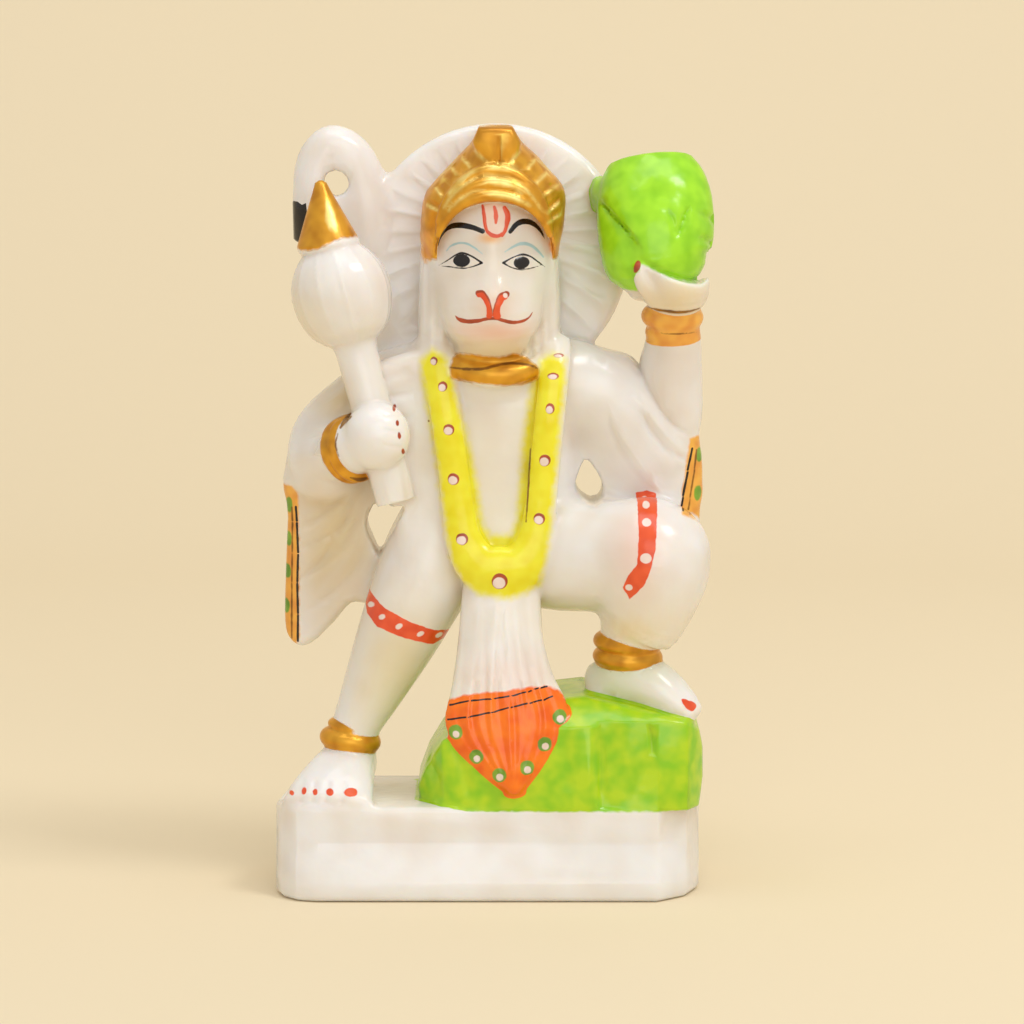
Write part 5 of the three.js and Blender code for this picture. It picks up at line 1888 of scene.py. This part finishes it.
    def paint(self, mesh: bpy.types.Mesh, block: Block, points: Array, facing: Array) -> None:
        """Lays the paint and keeps it as attributes of the mesh's points."""
        painting = Painting(points, facing)
        BodyPaint().lay(painting, self)
        GarlandPaint().lay(painting, self.garland)
        ClothPaint().lay(painting, self.sash)
        FacePaint().lay(painting)
        coats = [values for coat, values in painting.coats.items() if coat is not Coat.YELLOW]
        painting.mists[Mist.BODY] = 1 - ease(*self.body_edge, np.min(coats, axis=0))
        # The painted highlights count as metal paint, like the gold under them.
        gold = np.minimum(painting.coats[Coat.GOLD], painting.coats[Coat.GLINT])
        painting.mists[Mist.METAL] = 1 - ease(*self.metal_edge, gold)
        # Painted shade: hollows, where the surface lies close a little way off the skin, are darkened.
        above = block.sample(points + facing * self.hollow_reach)
        hollow = np.clip(1 - above / self.hollow_reach, 0, 1)
        painting.mists[Mist.GRIME] = np.maximum(painting.mists[Mist.GRIME], self.hollow_shade * hollow)
        for names in (painting.coats, painting.mists):
            for layer, values in names.items():
                attribute = mesh.attributes.new(layer.value, "FLOAT", "POINT")
                attribute.data.foreach_set("value", values.astype(np.float32))


# Finishes


def linear(colour: str) -> tuple[float, float, float, float]:
    """Turns an sRGB hex colour to linear light, with full alpha."""
    parts = [int(colour[i : i + 2], 16) / 255 for i in (1, 3, 5)]
    return (*(p / 12.92 if p <= 0.04045 else ((p + 0.055) / 1.055) ** 2.4 for p in parts), 1.0)


def add_node(tree: Tree, kind: str, sockets: dict | None = None, **settings: object) -> bpy.types.Node:
    """Adds a node with its settings and links.

    Args:
        tree: the material's nodes.
        kind: the node's type.
        sockets: for each input, by name or number, a value or the output that feeds it.
        settings: the node's own properties.

    Returns:
        The node.
    """
    node = tree.nodes.new(kind)
    for name, value in settings.items():
        setattr(node, name, value)
    for key, value in (sockets or {}).items():
        if isinstance(value, bpy.types.NodeSocket):
            tree.links.new(value, node.inputs[key])
        else:
            node.inputs[key].default_value = value
    return node


def mix(tree: Tree, share: Socket, first: Socket | tuple, second: Socket | tuple) -> Socket:
    """Mixes two colours, from the first at a share of 0 to the second at 1."""
    return add_node(tree, "ShaderNodeMix", {0: share, 6: first, 7: second}, data_type="RGBA").outputs[2]


@dataclass(frozen=True)
class Enamel:
    """A brushed or sprayed paint: its colour, where it pools darker, and how its edge was left."""

    coat: Coat
    colour: str
    pooled: str
    soft: float  # mm over which the edge fades
    wander: float  # mm that the brush strays


@dataclass(frozen=True)
class Wash:
    """A thin mist of colour over the stone; some are painted shade and painted reflections."""

    mist: Mist
    colour: str
    strength: float


@dataclass(frozen=True)
class PaintedMarble:
    """White Indian marble, hand carved and polished, with enamel paints and a gloss over all."""

    stone: str = "#EEEBE8"
    cloud: str = "#E7E0D8"
    cloud_mm: float = 9.0
    chisel_mm: float = 2.6
    wander_mm: float = 1.4
    pool_mm: float = 3.2
    ior: float = 1.5
    roughness: float = 0.2
    metal_roughness: float = 0.34
    metallic: float = 0.5  # brass powder in varnish, not solid metal
    translucent_mm: Place = (3.4, 2.7, 2.0)
    paint_share: float = 0.5  # how thick the paint is beside the chisel's marks
    relief_mm: float = 0.1
    relief_strength: float = 0.8
    enamels: tuple[Enamel, ...] = (
        Enamel(Coat.YELLOW, "#F1EA34", "#EADE18", 1.1, 0.3),
        Enamel(Coat.ROCK, "#B6D81A", "#8CCA14", 0.3, 0.15),
        Enamel(Coat.HILL, "#A8E628", "#92D41A", 0.3, 0.15),
        Enamel(Coat.GOLD, "#E6A62C", "#C8861E", 0.4, 0.2),
        # Pale gold for the painted highlights on the gilding.
        Enamel(Coat.GLINT, "#FFEE98", "#F6D660", 0.55, 0.1),
        Enamel(Coat.SAND, "#F6B64C", "#E6983E", 0.35, 0.15),
        Enamel(Coat.ORANGE, "#FF7E0C", "#F26404", 0.3, 0.2),
        Enamel(Coat.PINK, "#F7DECE", "#F2D0BC", 0.2, 0.05),
        Enamel(Coat.MAROON, "#BA4E2A", "#923A1A", 0.08, 0.06),
        Enamel(Coat.VERMILION, "#EE5E30", "#DC4A22", 0.1, 0.08),
        Enamel(Coat.LEAF, "#86AE36", "#64902A", 0.12, 0.08),
        Enamel(Coat.PEARL, "#F4E2D8", "#E9D2C4", 0.1, 0.06),
        Enamel(Coat.BLUE, "#B7D6DA", "#A6C4C6", 0.12, 0.04),
        Enamel(Coat.UMBER, "#8E5E1A", "#6E4812", 0.14, 0.06),
        Enamel(Coat.BLACK, "#231C17", "#15100D", 0.05, 0.03),
    )
    # The first wash is painted shade in hollows and on shaded sides; the honey wash is partly overspray of
    # paint and partly painted warm shade and reflected floor light; the green wash is partly overspray of
    # green paint and partly painted reflection of the green rock; the blush is paint.
    washes: tuple[Wash, ...] = (
        Wash(Mist.GRIME, "#C8AC84", 0.55),
        Wash(Mist.HONEY, "#E6CE84", 0.9),
        Wash(Mist.MOSS, "#B9DA7C", 0.8),
        Wash(Mist.BLUSH, "#F4A982", 0.9),
    )

    def noise(self, tree: Tree, place: Socket, size_mm: float) -> Socket:
        """A soft cloud pattern with spots of about that size, from 0 to 1."""
        sockets = {"Vector": place, "Scale": 1 / (size_mm * MM), "Detail": 1.0, "Roughness": 0.5}
        return add_node(tree, "ShaderNodeTexNoise", sockets).outputs["Fac"]

    def build(self) -> bpy.types.Material:
        """Makes the material.

        Returns:
            The material.
        """
        material = bpy.data.materials.new("polished_white_marble_and_enamel")
        material.use_nodes = True
        tree = material.node_tree
        tree.nodes.clear()
        place = add_node(tree, "ShaderNodeTexCoord").outputs["Object"]
        wander = self.noise(tree, place, self.wander_mm)
        tone = add_node(tree, "ShaderNodeMapRange", {
            "Value": self.noise(tree, place, self.pool_mm), "From Min": 0.35, "From Max": 0.7,
        }).outputs[0]
        colour = self.lay_stone(tree, place)
        for enamel in self.enamels:
            strayed = add_node(tree, "ShaderNodeMath", {
                0: wander, 1: 4 * enamel.wander, 2: self.layer(tree, enamel.coat),
            }, operation="MULTIPLY_ADD").outputs[0]
            middle = 2 * enamel.wander
            mask = add_node(tree, "ShaderNodeMapRange", {
                "Value": strayed, "From Min": middle + enamel.soft, "From Max": middle - enamel.soft,
            }, interpolation_type="SMOOTHSTEP").outputs[0]
            paint = mix(tree, tone, linear(enamel.colour), linear(enamel.pooled))
            colour = mix(tree, mask, colour, paint)
        metal = add_node(tree, "ShaderNodeMath", {
            0: self.layer(tree, Mist.METAL), 1: self.metallic,
        }, operation="MULTIPLY").outputs[0]
        through = add_node(tree, "ShaderNodeMapRange", {
            "Value": self.layer(tree, Mist.BODY), "To Min": 0.7, "To Max": 0.0,
        }).outputs[0]
        rough = add_node(tree, "ShaderNodeMapRange", {
            "Value": self.layer(tree, Mist.METAL), "To Min": self.roughness, "To Max": self.metal_roughness,
        }).outputs[0]
        shader = add_node(tree, "ShaderNodeBsdfPrincipled", {
            "Base Color": colour, "Roughness": rough, "Metallic": metal, "IOR": self.ior,
            "Subsurface Weight": through, "Subsurface Radius": tuple(self.translucent_mm),
            "Subsurface Scale": MM, "Normal": self.lay_relief(tree, place),
        })
        add_node(tree, "ShaderNodeOutputMaterial", {"Surface": shader.outputs[0]})
        return material

    def layer(self, tree: Tree, layer: Coat | Mist) -> Socket:
        """Reads a coat or a mist from the mesh's points."""
        return add_node(tree, "ShaderNodeAttribute", attribute_name=layer.value).outputs["Fac"]

    def lay_stone(self, tree: Tree, place: Socket) -> Socket:
        """Mixes the bare stone's colour from soft clouds and washes of thin colour, among them painted shade
        in hollows and on shaded sides and painted warm and green reflections.

        Args:
            tree: the material's nodes.
            place: the object's own coordinates.

        Returns:
            The colour.
        """
        clouds = add_node(tree, "ShaderNodeMapRange", {
            "Value": self.noise(tree, place, self.cloud_mm), "From Min": 0.4, "From Max": 0.75,
        }).outputs[0]
        colour = mix(tree, clouds, linear(self.stone), linear(self.cloud))
        for wash in self.washes:
            amount = add_node(tree, "ShaderNodeMath", {
                0: self.layer(tree, wash.mist), 1: wash.strength,
            }, operation="MULTIPLY").outputs[0]
            colour = mix(tree, amount, colour, linear(wash.colour))
        return colour

    def lay_relief(self, tree: Tree, place: Socket) -> Socket:
        """Raises the paint a little over the stone, with the soft marks of the chisel.

        Args:
            tree: the material's nodes.
            place: the object's own coordinates.

        Returns:
            The bent normal.
        """
        chisel = self.noise(tree, place, self.chisel_mm)
        body = self.layer(tree, Mist.BODY)
        sockets = {0: body, 1: self.paint_share, 2: chisel}
        paint = add_node(tree, "ShaderNodeMath", sockets, operation="MULTIPLY_ADD").outputs[0]
        return add_node(tree, "ShaderNodeBump", {
            "Height": paint, "Distance": self.relief_mm * MM, "Strength": self.relief_strength,
        }).outputs[0]


@dataclass(frozen=True)
class Studio:
    """A cream paper sweep, three soft lamps (a key from the upper right, one in front, one on the paper)
    and the camera."""

    paper: str = "#EDDDBD"
    paper_half: float = 1.6
    bend_from: float = 0.45
    bend_radius: float = 0.5
    paper_top: float = 1.6
    camera_place: Place = (4.833, -794.037, 172.656)
    camera_pitch: float = 7.0
    lens: float = 140.84
    sky: str = "#FFFFFF"
    sky_strength: float = 0.6

    def build(self) -> None:
        """Sets up the paper, the lights, the sky and the camera."""
        self.hang_paper()
        middle = (0, 0, 0.075)
        self.hang_lamp("key_lamp", (0.48, -0.34, 0.95), middle, 0.28, 2.6)
        self.hang_lamp("front_lamp", (0.2, -1.7, 0.7), middle, 1.3, 7.0)
        self.hang_lamp("paper_lamp", (0.0, -0.1, 1.5), (0, 1.0, 0.45), 0.9, 5.6)
        world = bpy.data.worlds.new("studio")
        bpy.context.scene.world = world
        world.use_nodes = True
        sky = world.node_tree.nodes["Background"]
        sky.inputs["Color"].default_value = linear(self.sky)
        sky.inputs["Strength"].default_value = self.sky_strength
        camera = bpy.data.cameras.new("camera")
        camera.lens = self.lens
        stand = bpy.data.objects.new("camera", camera)
        stand.location = Vector(self.camera_place) * MM
        stand.rotation_euler = (math.radians(90 - self.camera_pitch), 0, 0)
        bpy.context.collection.objects.link(stand)
        bpy.context.scene.camera = stand
        bpy.context.scene.view_settings.view_transform = "Standard"

    def hang_paper(self) -> None:
        """Makes the floor and backdrop as one sheet with a round bend."""
        turns = np.linspace(0, math.pi / 2, 25)
        radius = self.bend_radius
        profile = [(-3.0, 0.0)]
        profile += [(self.bend_from + radius * math.sin(t), radius * (1 - math.cos(t))) for t in turns]
        profile.append((self.bend_from + self.bend_radius, self.paper_top))
        points = [(x, y, z) for y, z in profile for x in (-self.paper_half, self.paper_half)]
        faces = [(2 * i, 2 * i + 1, 2 * i + 3, 2 * i + 2) for i in range(len(profile) - 1)]
        mesh = bpy.data.meshes.new("paper_sweep")
        mesh.from_pydata(points, [], faces)
        mesh.polygons.foreach_set("use_smooth", [True] * len(faces))
        sheet = bpy.data.objects.new("paper_sweep", mesh)
        bpy.context.collection.objects.link(sheet)
        material = bpy.data.materials.new("cream_matte_paper")
        material.use_nodes = True
        tree = material.node_tree
        tree.nodes.clear()
        shader = add_node(tree, "ShaderNodeBsdfPrincipled", {
            "Base Color": linear(self.paper), "Roughness": 0.9, "Specular IOR Level": 0.1,
        })
        add_node(tree, "ShaderNodeOutputMaterial", {"Surface": shader.outputs[0]})
        mesh.materials.append(material)

    def hang_lamp(self, name: str, place: Place, aim: Place, size: float, watts: float) -> None:
        """Hangs a square soft lamp that looks towards a place."""
        lamp = bpy.data.lights.new(name, "AREA")
        lamp.size = size
        lamp.energy = watts
        holder = bpy.data.objects.new(name, lamp)
        holder.location = place
        holder.rotation_euler = (Vector(aim) - Vector(place)).to_track_quat("-Z", "Y").to_euler()
        bpy.context.collection.objects.link(holder)


def main() -> None:
    """Carves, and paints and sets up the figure."""
    logging.basicConfig(level=logging.INFO, format="%(name)s: %(message)s")
    Studio().build()
    block = Block((-44, -22, -19.5), (47, 20, 135.5), 0.4)
    figure = Figure()
    figure.carve(block)
    piece = figure.build(block)
    piece.data.materials.append(PaintedMarble().build())
    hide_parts("hanuman_figure")
    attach(piece, "root")
    log.info("built %s", piece.name)


if __name__ == "__main__":
    main()
